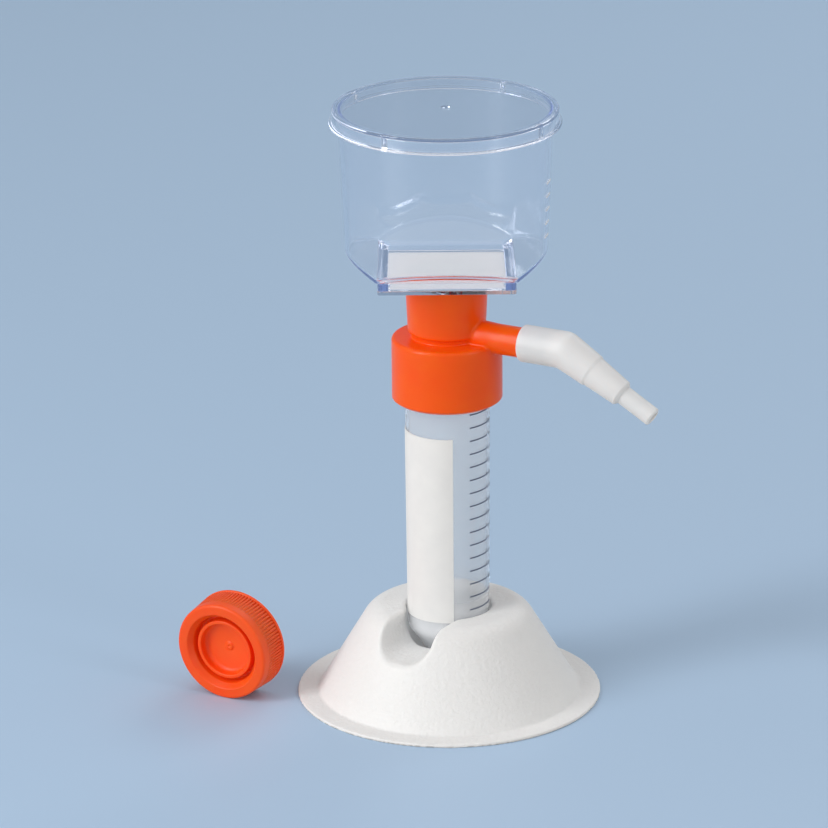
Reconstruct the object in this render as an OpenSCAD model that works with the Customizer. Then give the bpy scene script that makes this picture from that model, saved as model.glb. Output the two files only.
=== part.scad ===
// Vacuum filtration unit: a lidded funnel with a filter membrane, screwed by its
// collar on a conical sample tube that stands in a moulded stand, with the tube's
// own screw cap lying beside it.
//
// Units are millimetres, +Z is up. The origin is on the bench, on the axis that the
// stand, tube and funnel share. An azimuth is measured about +Z from the front (-Y),
// positive towards +X.

/* [Stand] */
// Thickness of the moulded sheet
stand_wall = 1.2; // [0.8:0.1:1.6]
// Radius of the cone where it leaves the flange
stand_cone_r = 44.8; // [42:0.1:47]
// Width of the flat flange round the cone
flange_w = 7; // [5:0.1:12]
// Slope of the cone's side, from the vertical, in degrees
stand_cone_angle = 30.8; // [28:0.1:33]
// Height of the stand's flat top
stand_h = 31.7; // [29:0.1:34]
// Radius of the rounded shoulder
stand_shoulder_r = 8; // [5:0.1:9]
// Height of the socket's floor, on which the tube's tip stands
socket_floor_h = 9.6; // [6:0.1:14]
// Gap round the tube in the socket
socket_clearance = 0.5; // [0.3:0.05:0.8]
// Radius of the socket's rounded rim
socket_rim_r = 2.2; // [1.8:0.1:3]
// Azimuth of the finger notch
notch_azimuth = -32.5; // [-60:0.5:0]
// Half the width of the finger notch
notch_half = 9.7; // [8:0.1:10.5]
// Height of the notch's floor
notch_floor_h = 20.5; // [17:0.1:24]
// Rounding along both sides of the notch's floor
notch_corner_r = 7.5; // [2:0.1:9]

/* [Tube] */
// Overall length of the tube
tube_len = 114.6; // [105:0.1:120]
// Outer radius at the threaded mouth
tube_mouth_r = 14.5; // [14.2:0.05:14.7]
// Outer radius where the straight side meets the cone
tube_foot_r = 13.9; // [13.5:0.05:14.1]
// Wall thickness
tube_wall = 1.15; // [0.9:0.05:1.4]
// Height of the conical tip
tube_cone_h = 15; // [13:0.1:17]
// Radius of the flat at the tip
tube_tip_r = 3; // [2:0.1:4]
// Height of the screw thread's ridge on the tube
thread_ridge = 1.1; // [0.9:0.05:1.3]
// Gap between that ridge and the wall that screws over it
thread_clearance = 0.4; // [0.3:0.05:0.6]

/* [Print on the tube] */
// Thickness of the ink
ink_t = 0.1; // [0.05:0.01:0.2]
// Gap left between a print and its wall
ink_gap = 0.02; // [0.01:0.01:0.05]
// Azimuth of the writing patch's right edge
patch_azimuth = 6.7; // [-10:0.1:15]
// Width of the writing patch, in degrees round the tube
patch_span = 110; // [80:1:120]
// Height of the patch's lower edge above the tube's tip
patch_low = 20.2; // [18:0.1:30]
// Distance from the patch's upper edge up to the collar
patch_drop = 9.9; // [5:0.1:30]
// Number of volume marks
mark_n = 16; // [8:1:17]
// Distance from the highest mark up to the collar
mark_drop = 1.8; // [1.2:0.1:6]
// Height of the lowest mark above the tube's tip
mark_low = 24.3; // [22:0.1:30]
// Azimuth where the marks begin
mark_azimuth = 31; // [20:1:50]
// Length of a mark, in degrees round the tube
mark_span = 50; // [20:1:60]
// Width of a printed line
mark_w = 0.45; // [0.3:0.05:0.8]

/* [Neck and collar] */
// Height of the threaded collar
collar_h = 22.3; // [20:0.1:26]
// Thickness of the collar's wall, without its thread
collar_wall = 2.65; // [2.2:0.05:4]
// Thickness of the collar's roof
collar_roof = 2.5; // [2:0.1:3.5]
// Rounding of the collar's upper edge
collar_round = 1.3; // [0.8:0.1:2]
// Width of the chamfer on the collar's lower edge
collar_chamfer = 1.3; // [0.6:0.1:1.6]
// Height of the groove between the collar and the neck
groove_h = 1.8; // [1:0.1:3]
// Depth of the groove below the neck's lower edge
groove_depth = 1.2; // [0.6:0.1:1.5]
// Height of the neck above the collar's top
neck_h = 21.85; // [18:0.05:26]
// Outer radius at the neck's lower edge
neck_low_r = 13.1; // [12.8:0.1:14]
// Outer radius at the neck's top
neck_top_r = 14; // [13.8:0.1:15]
// Thickness of the neck's wall at its lower edge
neck_wall = 1.1; // [0.8:0.05:1.4]
// Thickness of the chamber's floor in the neck
neck_floor = 2.5; // [1.5:0.1:4]
// Radius of the throat that opens into the tube
throat_r = 10; // [8:0.1:10.3]
// Thickness of the ring seal on the tube's lip
seal_t = 1.5; // [1:0.1:2.5]
// How far the ring seal reaches inwards past the tube's wall
seal_lap = 1; // [0.5:0.1:1.5]
// Gap between the ring seal and the collar's bore
seal_gap = 0.3; // [0.2:0.05:0.5]

/* [Side arm] */
// Azimuth of the side arm
arm_azimuth = 61; // [40:1:80]
// Height of the arm's axis above the collar's top
arm_rise = 1.86; // [1.6:0.01:3]
// Outer radius of the arm
arm_r = 5.1; // [4.9:0.05:5.3]
// Radius of the arm's bore
arm_bore_r = 2.6; // [2:0.05:3]
// Distance from the axis to the arm's end
arm_reach = 40.4; // [38.5:0.1:42]
// How far the arm's root flares beyond the arm
arm_flare = 0.3; // [0.1:0.1:1]
// Length of the flare
arm_flare_len = 7; // [4:0.5:9]

/* [Hose connector] */
// How far the arm reaches into the connector
socket_depth = 11.25; // [8:0.05:13]
// Thickness of the connector's wall round the arm
connector_wall = 1.15; // [0.9:0.05:1.8]
// Length from the socket's floor to the bend
bend_lead = 1.85; // [1:0.05:5]
// Angle of the bend
connector_bend = 29.4; // [15:0.1:45]
// Radius of the bend's centre line
bend_r = 8; // [7.5:0.5:14]
// Radial running clearance on the arm
swivel_clearance = 0.05; // [0.02:0.01:0.08]
// Gap between the arm's end and the socket's floor
socket_end_gap = 0.3; // [0.2:0.1:0.6]
// Length from the bend's corner to the end of the first step
step_1_len = 12.1; // [9:0.1:15]
// Length of the second step
step_2_len = 13.1; // [9:0.1:15]
// Length of the nozzle
nozzle_len = 12.4; // [9:0.1:16]
// Outer radius at the end of the first step
step_1_r = 5.75; // [5.6:0.05:6]
// Outer radius at the start of the second step
step_2_start_r = 5.35; // [5.1:0.05:5.5]
// Outer radius at the end of the second step
step_2_end_r = 4.5; // [4.2:0.05:4.8]
// Outer radius of the nozzle
nozzle_r = 3.25; // [3:0.05:3.6]
// Radius of the passage through the bend
passage_r = 3; // [2.6:0.05:3.2]
// Radius of the nozzle's bore
nozzle_bore_r = 1.9; // [1.5:0.05:2.2]

/* [Support plate and membrane] */
// Half the width of the square base
base_half = 23; // [22:0.1:25]
// Rounding of the square's corners
base_corner_r = 1; // [0.5:0.1:2]
// Thickness of the support plate
plate_t = 1.3; // [1.1:0.05:2.5]
// Width of the rim round the membrane's seat
seat_rim = 2.1; // [1.6:0.1:3]
// Gap between the membrane and the rim of its seat
membrane_gap = 0.1; // [0.05:0.05:0.3]
// Thickness of the membrane
membrane_t = 0.25; // [0.15:0.05:0.4]
// Number of drain channels under the membrane
channel_n = 9; // [5:1:11]
// Width of a drain channel
channel_w = 1.2; // [0.8:0.1:1.6]
// Depth of the drain channels below the membrane
channel_depth = 0.4; // [0.2:0.05:0.5]
// Outer radius of the drip spout
spout_r = 3.5; // [3:0.1:4]
// Radius of the spout's bore
spout_bore_r = 2.3; // [1.5:0.1:2.5]
// Length of the drip spout
spout_len = 27; // [22:0.5:30]
// Depth of the locating ring in the neck
locating_ring_h = 4; // [2:0.1:6]
// Thickness of the locating ring
locating_ring_t = 1.2; // [0.8:0.1:1.6]
// Gap between the locating ring and the neck's chamber
locating_gap = 0.1; // [0.05:0.05:0.3]

/* [Funnel] */
// Height of the funnel, from the support plate to its rim
funnel_h = 55.35; // [45:0.05:70]
// Outer radius at the rim
funnel_rim_r = 35.9; // [35.2:0.1:37.5]
// Outer radius at the foot of the round wall
funnel_low_r = 33.8; // [33.4:0.1:35]
// Wall thickness
funnel_wall = 1.3; // [1:0.05:1.7]
// Height of the square base
funnel_base_h = 2.7; // [2.2:0.1:4]
// Width of the membrane's edge that the funnel clamps
membrane_grip = 1.3; // [0.8:0.1:2.5]
// Slope of the four floor panels, in degrees
floor_slope = 24.2; // [20:0.1:28]
// Number of scale marks
scale_n = 5; // [3:1:6]
// Distance between scale marks
scale_pitch = 4.7; // [4.5:0.1:6]
// Height of the lowest scale mark above the support plate
scale_low = 14; // [12:0.1:18]
// Azimuth where the scale marks begin
scale_azimuth = 72; // [50:1:80]
// Length of a scale mark, in degrees round the wall
scale_span = 9; // [5:1:14]

/* [Lid] */
// Thickness of the lid's top
lid_t = 1.3; // [1:0.05:1.8]
// Depth of the skirt below the lid's top face
lid_skirt_h = 5.4; // [4.5:0.1:8]
// Gap between the funnel's rim and the skirt
lid_gap = 0.55; // [0.4:0.05:0.8]
// Thickness of the skirt
lid_wall = 1.3; // [1:0.05:1.7]
// How far the skirt's lower bead stands out
lid_bead = 1; // [0.5:0.1:1.5]
// Height of the bead
lid_bead_h = 0.9; // [0.6:0.1:1.4]
// Number of centring ribs inside the skirt
lid_rib_n = 4; // [3:1:6]
// Width of a centring rib
lid_rib_w = 2.2; // [1.2:0.1:3]
// Azimuth of the first centring rib
lid_rib_azimuth = 57; // [0:1:89]
// Gap between a centring rib and the funnel's rim
lid_rib_gap = 0.15; // [0.1:0.05:0.3]

/* [Tube cap] */
// Height of the cap
cap_h = 12.4; // [11.5:0.1:15]
// Outer radius at the open end
cap_low_r = 18; // [17.8:0.05:18.6]
// Outer radius at the top
cap_top_r = 17.25; // [17.1:0.05:17.6]
// Radius of the recess at the cap's top
cap_recess_r = 13.7; // [13.4:0.05:14]
// Depth of the recess
cap_recess_depth = 5.2; // [4.5:0.1:5.6]
// Outer radius of the ring in the recess
cap_ring_r = 10.65; // [10:0.05:11]
// Thickness of that ring
cap_ring_t = 1.3; // [1:0.05:1.6]
// Depth of the ring's top below the cap's top
cap_ring_depth = 2.1; // [1.5:0.1:2.6]
// Thickness of the cap's top and of its plug
cap_wall = 1.1; // [0.9:0.05:1.3]
// Gap between the plug's tip and the tube's mouth
plug_gap = 0.25; // [0.1:0.05:0.5]
// Number of grip ribs
knurl_n = 96; // [60:1:120]
// Height where the grip ribs begin
knurl_low = 1; // [0.5:0.1:3]
// Height of the grip ribs
knurl_h = 7.8; // [5:0.1:8.5]
// Depth at which the grip ribs run out
knurl_depth = 0.15; // [0.1:0.05:0.25]
// Distance from the stand's flange to the middle of the cap's open end
cap_away = 19.9; // [19:0.1:40]
// Place of the cap's open end across that line
cap_y = 3.8; // [-20:0.1:20]
// Azimuth that the cap's top faces
cap_azimuth = -30; // [-60:1:0]

/* [Hidden] */
$fn = 96;
orange = [0.95, 0.28, 0.06];
clear = [0.75, 0.86, 0.93, 0.4];
arc_steps = 8;
overshoot = 1;
lap = 0.5;
bore_r = tube_mouth_r + thread_ridge + thread_clearance;

// Heights of the stack, from the bench up
tube_z = socket_floor_h;
lip_z = tube_z + tube_len;
roof_z = lip_z + seal_t;
collar_top_z = roof_z + collar_roof;
collar_z = collar_top_z - collar_h;
neck_z = collar_top_z + groove_h;
neck_top_z = collar_top_z + neck_h;
plate_top_z = neck_top_z + plate_t;
rim_z = plate_top_z + funnel_h;
lid_top_z = rim_z + lid_t;

// Stand
stand_flange_r = stand_cone_r + flange_w;
stand_slope = tan(stand_cone_angle);
shoulder_z = stand_h - stand_shoulder_r;
function cone_r(z) = stand_cone_r - stand_slope * (z - stand_wall);
shoulder_r = cone_r(shoulder_z) - stand_shoulder_r / cos(stand_cone_angle);
socket_r = tube_r(stand_h - tube_z) + socket_clearance;

// Tube
function tube_r(h) = tube_foot_r
    + (tube_mouth_r - tube_foot_r) * max(0, h - tube_cone_h) / (tube_len - tube_cone_h);

// Print on the tube, as heights above its tip
patch_top = collar_z - patch_drop - tube_z;
mark_pitch = (collar_z - mark_drop - tube_z - mark_low) / (mark_n - 1);

// Neck and collar
collar_r = bore_r + collar_wall;
groove_r = neck_low_r - groove_depth;
chamber_r = neck_low_r - neck_wall;
neck_round = 0.9;

// Side arm and connector, as distances from the axis
arm_z = collar_top_z + arm_rise;
connector_bore_r = arm_r + swivel_clearance;
connector_r = connector_bore_r + connector_wall;
connector_face = arm_reach - socket_depth;
socket_end = arm_reach + socket_end_gap;
bend_start = socket_end + bend_lead;
bend_corner = bend_start + bend_r * tan(connector_bend / 2);
step_chamfer = 1.2;
nozzle_chamfer = 0.5;
face_round = 0.8;
weld_lap = 0.05;
weld_step = 0.02;

// Support plate and membrane
ring_r = chamber_r - locating_gap;
membrane_half = base_half - seat_rim - membrane_gap;
seat_z = plate_top_z - membrane_t;

// Funnel
well_half = membrane_half - membrane_grip;
base_z = plate_top_z + funnel_base_h;
panel_lift = funnel_wall / cos(floor_slope);
function funnel_r(z) = funnel_low_r
    + (funnel_rim_r - funnel_low_r) * (z - base_z) / (rim_z - base_z);
cut_size = 4 * funnel_rim_r;

// Lid
skirt_inner_r = funnel_rim_r + lid_gap;
skirt_r = skirt_inner_r + lid_wall;
lid_round = 0.6;

// Cap
cap_round = 0.8;
cap_dish = 0.6;
cap_lean = atan((cap_low_r - cap_top_r) / (cap_h - cap_round));
cap_x = -(stand_flange_r + cap_away);
plug_tip_r = tube_mouth_r - tube_wall - plug_gap;
function cap_r(z) = cap_low_r - z * tan(cap_lean);

// Points of an arc from angle a0 to a1, on a centre c
function arc(c, r, a0, a1) = [
    for (i = [0 : arc_steps])
        let (a = a0 + (a1 - a0) * i / arc_steps) [c[0] + r * cos(a), c[1] + r * sin(a)]
];

// A square block with rounded upright corners, standing on z = 0
module square_block(half, h, r = base_corner_r) {
    translate([-half, -(half - r), 0]) cube([2 * half, 2 * (half - r), h]);
    translate([-(half - r), -half, 0]) cube([2 * (half - r), 2 * half, h]);
    for (x = [-1, 1], y = [-1, 1])
        translate([x * (half - r), y * (half - r), 0]) cylinder(r = r, h = h);
}

// The cone with its rounded shoulder, drawn in by the thickness of the sheet
module stand_cone(inset) {
    side = inset / cos(stand_cone_angle);
    low = inset > 0 ? -overshoot : 0;
    rotate_extrude()
        polygon(concat(
            [[0, low], [cone_r(low) - side, low]],
            arc([shoulder_r, shoulder_z], stand_shoulder_r - inset, stand_cone_angle, 90),
            [[0, stand_h - inset]]
        ));
}

// The socket for the tube, with its rounded rim, grown by the thickness of the sheet
module stand_socket(grow) {
    rim_c = [socket_r + socket_rim_r, stand_h - socket_rim_r];
    top = stand_h + overshoot;
    rotate_extrude()
        polygon(concat(
            [[0, socket_floor_h - grow], [socket_r + grow, socket_floor_h - grow]],
            arc(rim_c, socket_rim_r - grow, 180, 90),
            [[rim_c[0], top], [0, top]]
        ));
}

// The finger notch, grown by the thickness of the sheet
module stand_notch(grow) {
    half = notch_half + grow;
    low = notch_floor_h - grow;
    r = notch_corner_r + grow;
    rotate([90, 0, notch_azimuth])
        linear_extrude(stand_flange_r)
            polygon(concat(
                arc([r - half, low + r], r, 180, 270),
                arc([half - r, low + r], r, 270, 360),
                [[half, stand_h + overshoot], [-half, stand_h + overshoot]]
            ));
}

module stand() {
    color("white")
    difference() {
        union() {
            cylinder(r = stand_flange_r, h = stand_wall);
            stand_cone(0);
        }
        difference() {
            stand_cone(stand_wall);
            stand_socket(stand_wall);
            stand_notch(stand_wall);
        }
        stand_socket(0);
        stand_notch(0);
    }
}

// The tube's outline on one side, drawn in by the wall
module tube_outline(inset) {
    tip_r = tube_tip_r - inset * 0.5;
    polygon([
        [0, inset], [tip_r, inset],
        [tube_foot_r - inset, tube_cone_h + inset * 0.3],
        [tube_mouth_r - inset, tube_len + (inset > 0 ? overshoot : 0)],
        [0, tube_len + (inset > 0 ? overshoot : 0)],
    ]);
}

module tube() {
    color(clear)
    translate([0, 0, tube_z])
        rotate_extrude()
            difference() {
                tube_outline(0);
                tube_outline(tube_wall);
            }
}

// A printed band on the tube, from height h0 to h1 above the tip
module tube_band(azimuth, span, h0, h1) {
    r0 = tube_r(h0) + ink_gap;
    r1 = tube_r(h1) + ink_gap;
    translate([0, 0, tube_z])
        rotate([0, 0, azimuth - 90])
            rotate_extrude(angle = span)
                polygon([[r0, h0], [r0 + ink_t, h0], [r1 + ink_t, h1], [r1, h1]]);
}

module tube_patch() {
    color("ghostwhite")
    tube_band(patch_azimuth - patch_span, patch_span, patch_low, patch_top);
}

module tube_graduations() {
    color([0.25, 0.29, 0.42])
    for (i = [0 : mark_n - 1])
        let (h = mark_low + i * mark_pitch)
            tube_band(mark_azimuth, mark_span, h - mark_w / 2, h + mark_w / 2);
}

module neck_seal() {
    color("gainsboro")
    translate([0, 0, lip_z])
        difference() {
            cylinder(r = bore_r - seal_gap, h = seal_t);
            translate([0, 0, -overshoot])
                cylinder(r = tube_mouth_r - tube_wall - seal_lap, h = seal_t + 2 * overshoot);
        }
}

// Turns a shape that is built along +X from the axis into the side arm's place
module along_arm() {
    translate([0, 0, arm_z])
        rotate([0, 0, arm_azimuth - 90])
            rotate([0, 90, 0])
                children();
}

module neck_body() {
    rotate_extrude()
        polygon(concat(
            [
                [0, collar_z], [collar_r - collar_chamfer, collar_z],
                [collar_r, collar_z + 0.8 * collar_chamfer],
            ],
            arc([collar_r - collar_round, collar_top_z - collar_round],
                collar_round, 0, 90),
            [[groove_r, collar_top_z], [groove_r, neck_z]],
            arc([neck_low_r - neck_round, neck_z + neck_round], neck_round, 270, 360),
            [[neck_top_r, neck_top_z], [0, neck_top_z]]
        ));
}

module neck() {
    color(orange)
    difference() {
        union() {
            neck_body();
            along_arm()
                rotate_extrude()
                    polygon([
                        [0, 0], [arm_r + arm_flare, 0],
                        [arm_r + arm_flare, neck_low_r],
                        [arm_r, neck_low_r + arm_flare_len],
                        [arm_r, arm_reach], [0, arm_reach],
                    ]);
        }
        translate([0, 0, collar_z - overshoot])
            cylinder(r = bore_r, h = roof_z - collar_z + overshoot);
        translate([0, 0, roof_z - overshoot])
            cylinder(r = throat_r, h = neck_h + collar_roof);
        translate([0, 0, neck_z + neck_floor])
            cylinder(r = chamber_r, h = neck_h);
        along_arm()
            cylinder(r = arm_bore_r, h = arm_reach + overshoot);
    }
}

// A bent rod along the connector's bend. It is a hair slimmer than the straight
// lengths of radius r that lap over its ends.
module bend(r) {
    translate([bend_r, 0, bend_start])
        rotate([90, 0, 180])
            rotate_extrude(angle = connector_bend)
                translate([bend_r, 0]) circle(r = r - weld_step);
}

// Turns a shape that is built along +Z from the bend's corner into the nozzle's direction
module along_nozzle() {
    translate([0, 0, bend_corner])
        rotate([0, connector_bend, 0])
            children();
}

// The stepped outside, from the bend's end to the nozzle's tip
module connector_steps() {
    start = bend_corner - bend_start - weld_lap;
    step_2_end = step_1_len + step_2_len;
    tip = step_2_end + nozzle_len;
    rotate_extrude()
        polygon([
            [0, start], [connector_r, start],
            [step_1_r, step_1_len - step_chamfer / 2],
            [step_2_start_r, step_1_len],
            [step_2_end_r, step_2_end - step_chamfer],
            [nozzle_r, step_2_end],
            [nozzle_r, tip - nozzle_chamfer],
            [nozzle_r - nozzle_chamfer, tip],
            [0, tip],
        ]);
}

// The passage, from the bend's end out through the nozzle's tip
module connector_passage() {
    start = bend_corner - bend_start - weld_lap;
    step_2_end = step_1_len + step_2_len;
    rotate_extrude()
        polygon([
            [0, start], [passage_r, start],
            [nozzle_bore_r, step_2_end],
            [nozzle_bore_r, step_2_end + nozzle_len + overshoot],
            [0, step_2_end + nozzle_len + overshoot],
        ]);
}

module hose_connector() {
    color([0.93, 0.94, 0.92])
    along_arm()
        difference() {
            union() {
                rotate_extrude()
                    polygon(concat(
                        [[0, connector_face]],
                        arc([connector_r - face_round, connector_face + face_round],
                            face_round, 270, 360),
                        [
                            [connector_r, bend_start + weld_lap],
                            [0, bend_start + weld_lap],
                        ]
                    ));
                bend(connector_r);
                along_nozzle() connector_steps();
            }
            translate([0, 0, connector_face - overshoot])
                cylinder(r = connector_bore_r, h = socket_end - connector_face + overshoot);
            translate([0, 0, connector_face])
                cylinder(r = passage_r, h = bend_start + weld_lap - connector_face);
            bend(passage_r);
            along_nozzle() connector_passage();
        }
}

module support_plate() {
    pitch = 2 * (membrane_half - channel_w) / channel_n;
    color(clear)
    difference() {
        union() {
            translate([0, 0, neck_top_z]) square_block(base_half, plate_t);
            translate([0, 0, neck_top_z - locating_ring_h])
                difference() {
                    cylinder(r = ring_r, h = locating_ring_h + lap);
                    translate([0, 0, -overshoot])
                        cylinder(r = ring_r - locating_ring_t,
                            h = locating_ring_h + 2 * overshoot);
                }
            translate([0, 0, neck_top_z - spout_len])
                cylinder(r = spout_r, h = spout_len + lap);
        }
        translate([0, 0, seat_z])
            square_block(membrane_half + membrane_gap, membrane_t + overshoot);
        for (i = [-(channel_n - 1) / 2 : (channel_n - 1) / 2])
            translate([i * pitch - channel_w / 2, -membrane_half + channel_w, seat_z - channel_depth])
                cube([channel_w, 2 * (membrane_half - channel_w), plate_t]);
        translate([-membrane_half + channel_w, -channel_w, seat_z - channel_depth])
            cube([2 * (membrane_half - channel_w), 2 * channel_w, plate_t]);
        translate([0, 0, neck_top_z - spout_len - overshoot])
            cylinder(r = spout_bore_r, h = spout_len + plate_t + overshoot);
    }
}

module membrane() {
    color("white")
    translate([0, 0, seat_z]) square_block(membrane_half, membrane_t);
}

// The space above the four sloping floor panels, raised by a thickness
module above_panels(half, z) {
    intersection_for (side = [0 : 3])
        rotate([0, 0, 90 * side])
            translate([half, 0, z])
                rotate([0, -floor_slope, 0])
                    translate([-cut_size / 2, -cut_size / 2, 0])
                        cube([cut_size, cut_size, cut_size]);
}

// The round wall, drawn in by the thickness of the wall
module funnel_round(inset) {
    top = rim_z + (inset > 0 ? overshoot : 0);
    rotate_extrude()
        polygon([
            [0, base_z], [funnel_r(base_z) - inset, base_z],
            [funnel_r(top) - inset, top], [0, top],
        ]);
}

module funnel() {
    color(clear)
    difference() {
        union() {
            intersection() {
                funnel_round(0);
                above_panels(base_half, base_z);
            }
            translate([0, 0, plate_top_z]) square_block(base_half, funnel_base_h + lap);
        }
        intersection() {
            funnel_round(funnel_wall);
            above_panels(base_half, base_z + panel_lift);
        }
        translate([0, 0, plate_top_z - overshoot])
            square_block(well_half, funnel_base_h + funnel_wall + overshoot);
    }
}

module funnel_graduations() {
    color("white")
    for (i = [0 : scale_n - 1])
        let (
            z = plate_top_z + scale_low + i * scale_pitch,
            r = funnel_r(z + mark_w) + ink_gap
        )
        rotate([0, 0, scale_azimuth - 90])
            rotate_extrude(angle = scale_span)
                translate([r, z]) square([ink_t, mark_w]);
}

module lid() {
    low = lid_top_z - lid_skirt_h;
    color(clear)
    difference() {
        union() {
            difference() {
                rotate_extrude()
                    polygon(concat(
                        [
                            [0, low], [skirt_r + lid_bead, low],
                            [skirt_r + lid_bead, low + lid_bead_h],
                            [skirt_r, low + lid_bead_h],
                        ],
                        arc([skirt_r - lid_round, lid_top_z - lid_round], lid_round, 0, 90),
                        [[0, lid_top_z]]
                    ));
                translate([0, 0, low - overshoot])
                    cylinder(r = skirt_inner_r, h = rim_z - low + overshoot);
            }
            for (i = [0 : lid_rib_n - 1])
                rotate([0, 0, lid_rib_azimuth + i * 360 / lid_rib_n])
                    translate([-lid_rib_w / 2, -(skirt_inner_r + lid_wall / 2), low])
                        cube([lid_rib_w, lid_wall + lid_gap, lid_skirt_h - lid_t / 2]);
        }
        translate([0, 0, low - overshoot])
            cylinder(r = funnel_rim_r + lid_rib_gap, h = rim_z - low + overshoot);
    }
}

// The cap, standing on its open end
module cap_upright() {
    floor_z = cap_h - cap_recess_depth;
    ring_top = cap_h - cap_ring_depth;
    roof = cap_h - cap_wall;
    plug_root_r = plug_tip_r + plug_gap;
    difference() {
        rotate_extrude()
            polygon(concat(
                [[bore_r, 0], [cap_low_r, 0]],
                arc([cap_top_r - cap_round, cap_h - cap_round], cap_round, 0, 90),
                [
                    [cap_recess_r, cap_h],
                    [plug_root_r - cap_wall, ring_top],
                    [plug_tip_r - cap_wall, floor_z],
                    [cap_ring_r, floor_z], [cap_ring_r, ring_top],
                    [cap_ring_r - cap_ring_t, ring_top], [cap_ring_r - cap_ring_t, floor_z],
                    [0, floor_z - cap_dish], [0, floor_z - cap_dish - cap_wall],
                    [cap_ring_r - cap_ring_t, floor_z - cap_wall],
                    [plug_tip_r, floor_z - cap_wall],
                    [plug_root_r, ring_top - cap_wall], [plug_root_r, roof],
                    [bore_r, roof],
                ]
            ));
        translate([0, 0, knurl_low])
            linear_extrude(knurl_h)
                difference() {
                    circle(r = cap_low_r + overshoot);
                    knurl_star();
                }
    }
}

// The outline that leaves the grip ribs standing
module knurl_star() {
    pitch = 360 / knurl_n;
    valley = cap_r(knurl_low + knurl_h) - knurl_depth;
    tip = cap_low_r + overshoot / 2;
    polygon([
        for (i = [0 : knurl_n - 1], k = [0, 1])
            let (a = (i + k / 2) * pitch, r = k == 0 ? valley : tip) [r * cos(a), r * sin(a)]
    ]);
}

module tube_cap() {
    color(orange)
    translate([cap_x, cap_y, cap_low_r * cos(cap_lean)])
        rotate([0, 0, cap_azimuth])
            rotate([90 + cap_lean, 0, 0])
                cap_upright();
}

stand();
tube();
tube_patch();
tube_graduations();
neck_seal();
neck();
hose_connector();
support_plate();
membrane();
funnel();
funnel_graduations();
lid();
tube_cap();
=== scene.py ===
"""Looks of the vacuum filtration unit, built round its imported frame.

Sizes are in millimetres and azimuths in degrees from the front (-Y), positive towards
+X, unless a name says otherwise. Every finished mesh is in metres in the frame's axes.
"""

import logging
import math
from dataclasses import dataclass, field
from enum import Enum
from functools import cache, reduce
from typing import Any, Callable, Iterable, Optional, Sequence, Union

import bmesh
import bpy
import numpy as np
from mathutils import Matrix, Vector

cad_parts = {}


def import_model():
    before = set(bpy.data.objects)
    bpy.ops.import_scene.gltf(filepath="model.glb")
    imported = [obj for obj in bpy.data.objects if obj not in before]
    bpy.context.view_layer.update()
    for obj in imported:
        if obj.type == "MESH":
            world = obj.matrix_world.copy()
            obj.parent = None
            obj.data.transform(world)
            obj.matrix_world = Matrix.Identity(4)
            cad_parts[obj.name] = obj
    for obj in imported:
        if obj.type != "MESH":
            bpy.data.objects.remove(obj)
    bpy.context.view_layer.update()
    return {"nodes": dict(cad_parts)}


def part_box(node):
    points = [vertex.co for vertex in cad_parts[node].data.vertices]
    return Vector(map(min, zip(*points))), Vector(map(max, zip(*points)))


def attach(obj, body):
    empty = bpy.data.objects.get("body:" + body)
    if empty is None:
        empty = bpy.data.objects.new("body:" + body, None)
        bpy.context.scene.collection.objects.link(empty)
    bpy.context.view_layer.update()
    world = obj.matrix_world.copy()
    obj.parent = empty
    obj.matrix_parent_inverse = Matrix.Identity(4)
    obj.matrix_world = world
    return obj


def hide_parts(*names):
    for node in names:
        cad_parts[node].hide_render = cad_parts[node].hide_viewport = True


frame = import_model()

logger = logging.getLogger("filtration_unit")

Array = np.ndarray
Field = Callable[[Array], Array]
Piece = bpy.types.Object
Number = Union[float, int, "Value"]
Colour = tuple[float, float, float]
Place = tuple[float, float, float]
Span = tuple[float, float]

MM = 0.001
WHITE: Colour = (1.0, 1.0, 1.0)
PLASTIC_IOR = 1.5
ROUND_FACETS = 192  # facets of a piece that is turned
SHARP_DEG = 40.0  # edges that are sharper than this keep their crease
TINY = 1e-9  # stands in where a length mustn't be zero
OVERLAP = 0.05  # how far a ridge or rib sinks into its wall
ARM_AZIMUTH = 61.0  # where the side arm and its connector point


class Body(Enum):
    """The bodies that the joints move."""

    FOOT = "tube_and_stand"
    SEAL = "seal"
    HEAD = "filter_head"
    HOSE = "connector"


def node_box(node: str) -> tuple[Vector, Vector]:
    """A frame node's lowest and highest corners, in millimetres."""
    low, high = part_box(node)
    return low / MM, high / MM


# ---------------------------------------------------------------- node graphs


def maths(operation: str, reflected: bool = False) -> Callable[["Value", Number], "Value"]:
    """Makes one of Value's operators.

    Args:
        operation: the Math node's operation.
        reflected: whether the value stands on the operator's right.

    Returns:
        The operator.
    """

    def operator(value: "Value", other: Number) -> "Value":
        """Adds the Math node."""
        pair = (other, value) if reflected else (value, other)
        return value.graph.add("ShaderNodeMath", {"operation": operation}, dict(enumerate(pair)))

    return operator


class Value:
    """One output socket, which takes part in arithmetic by adding Math nodes."""

    def __init__(self, graph: "Graph", socket: Optional[bpy.types.NodeSocket]) -> None:
        """Keeps the graph and the socket that this value stands for."""
        self.graph = graph
        self.socket = socket

    __add__, __radd__ = maths("ADD"), maths("ADD", reflected=True)
    __sub__, __rsub__ = maths("SUBTRACT"), maths("SUBTRACT", reflected=True)
    __mul__, __rmul__ = maths("MULTIPLY"), maths("MULTIPLY", reflected=True)
    __truediv__, __rtruediv__ = maths("DIVIDE"), maths("DIVIDE", reflected=True)
    least, most = maths("MINIMUM"), maths("MAXIMUM")


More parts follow.
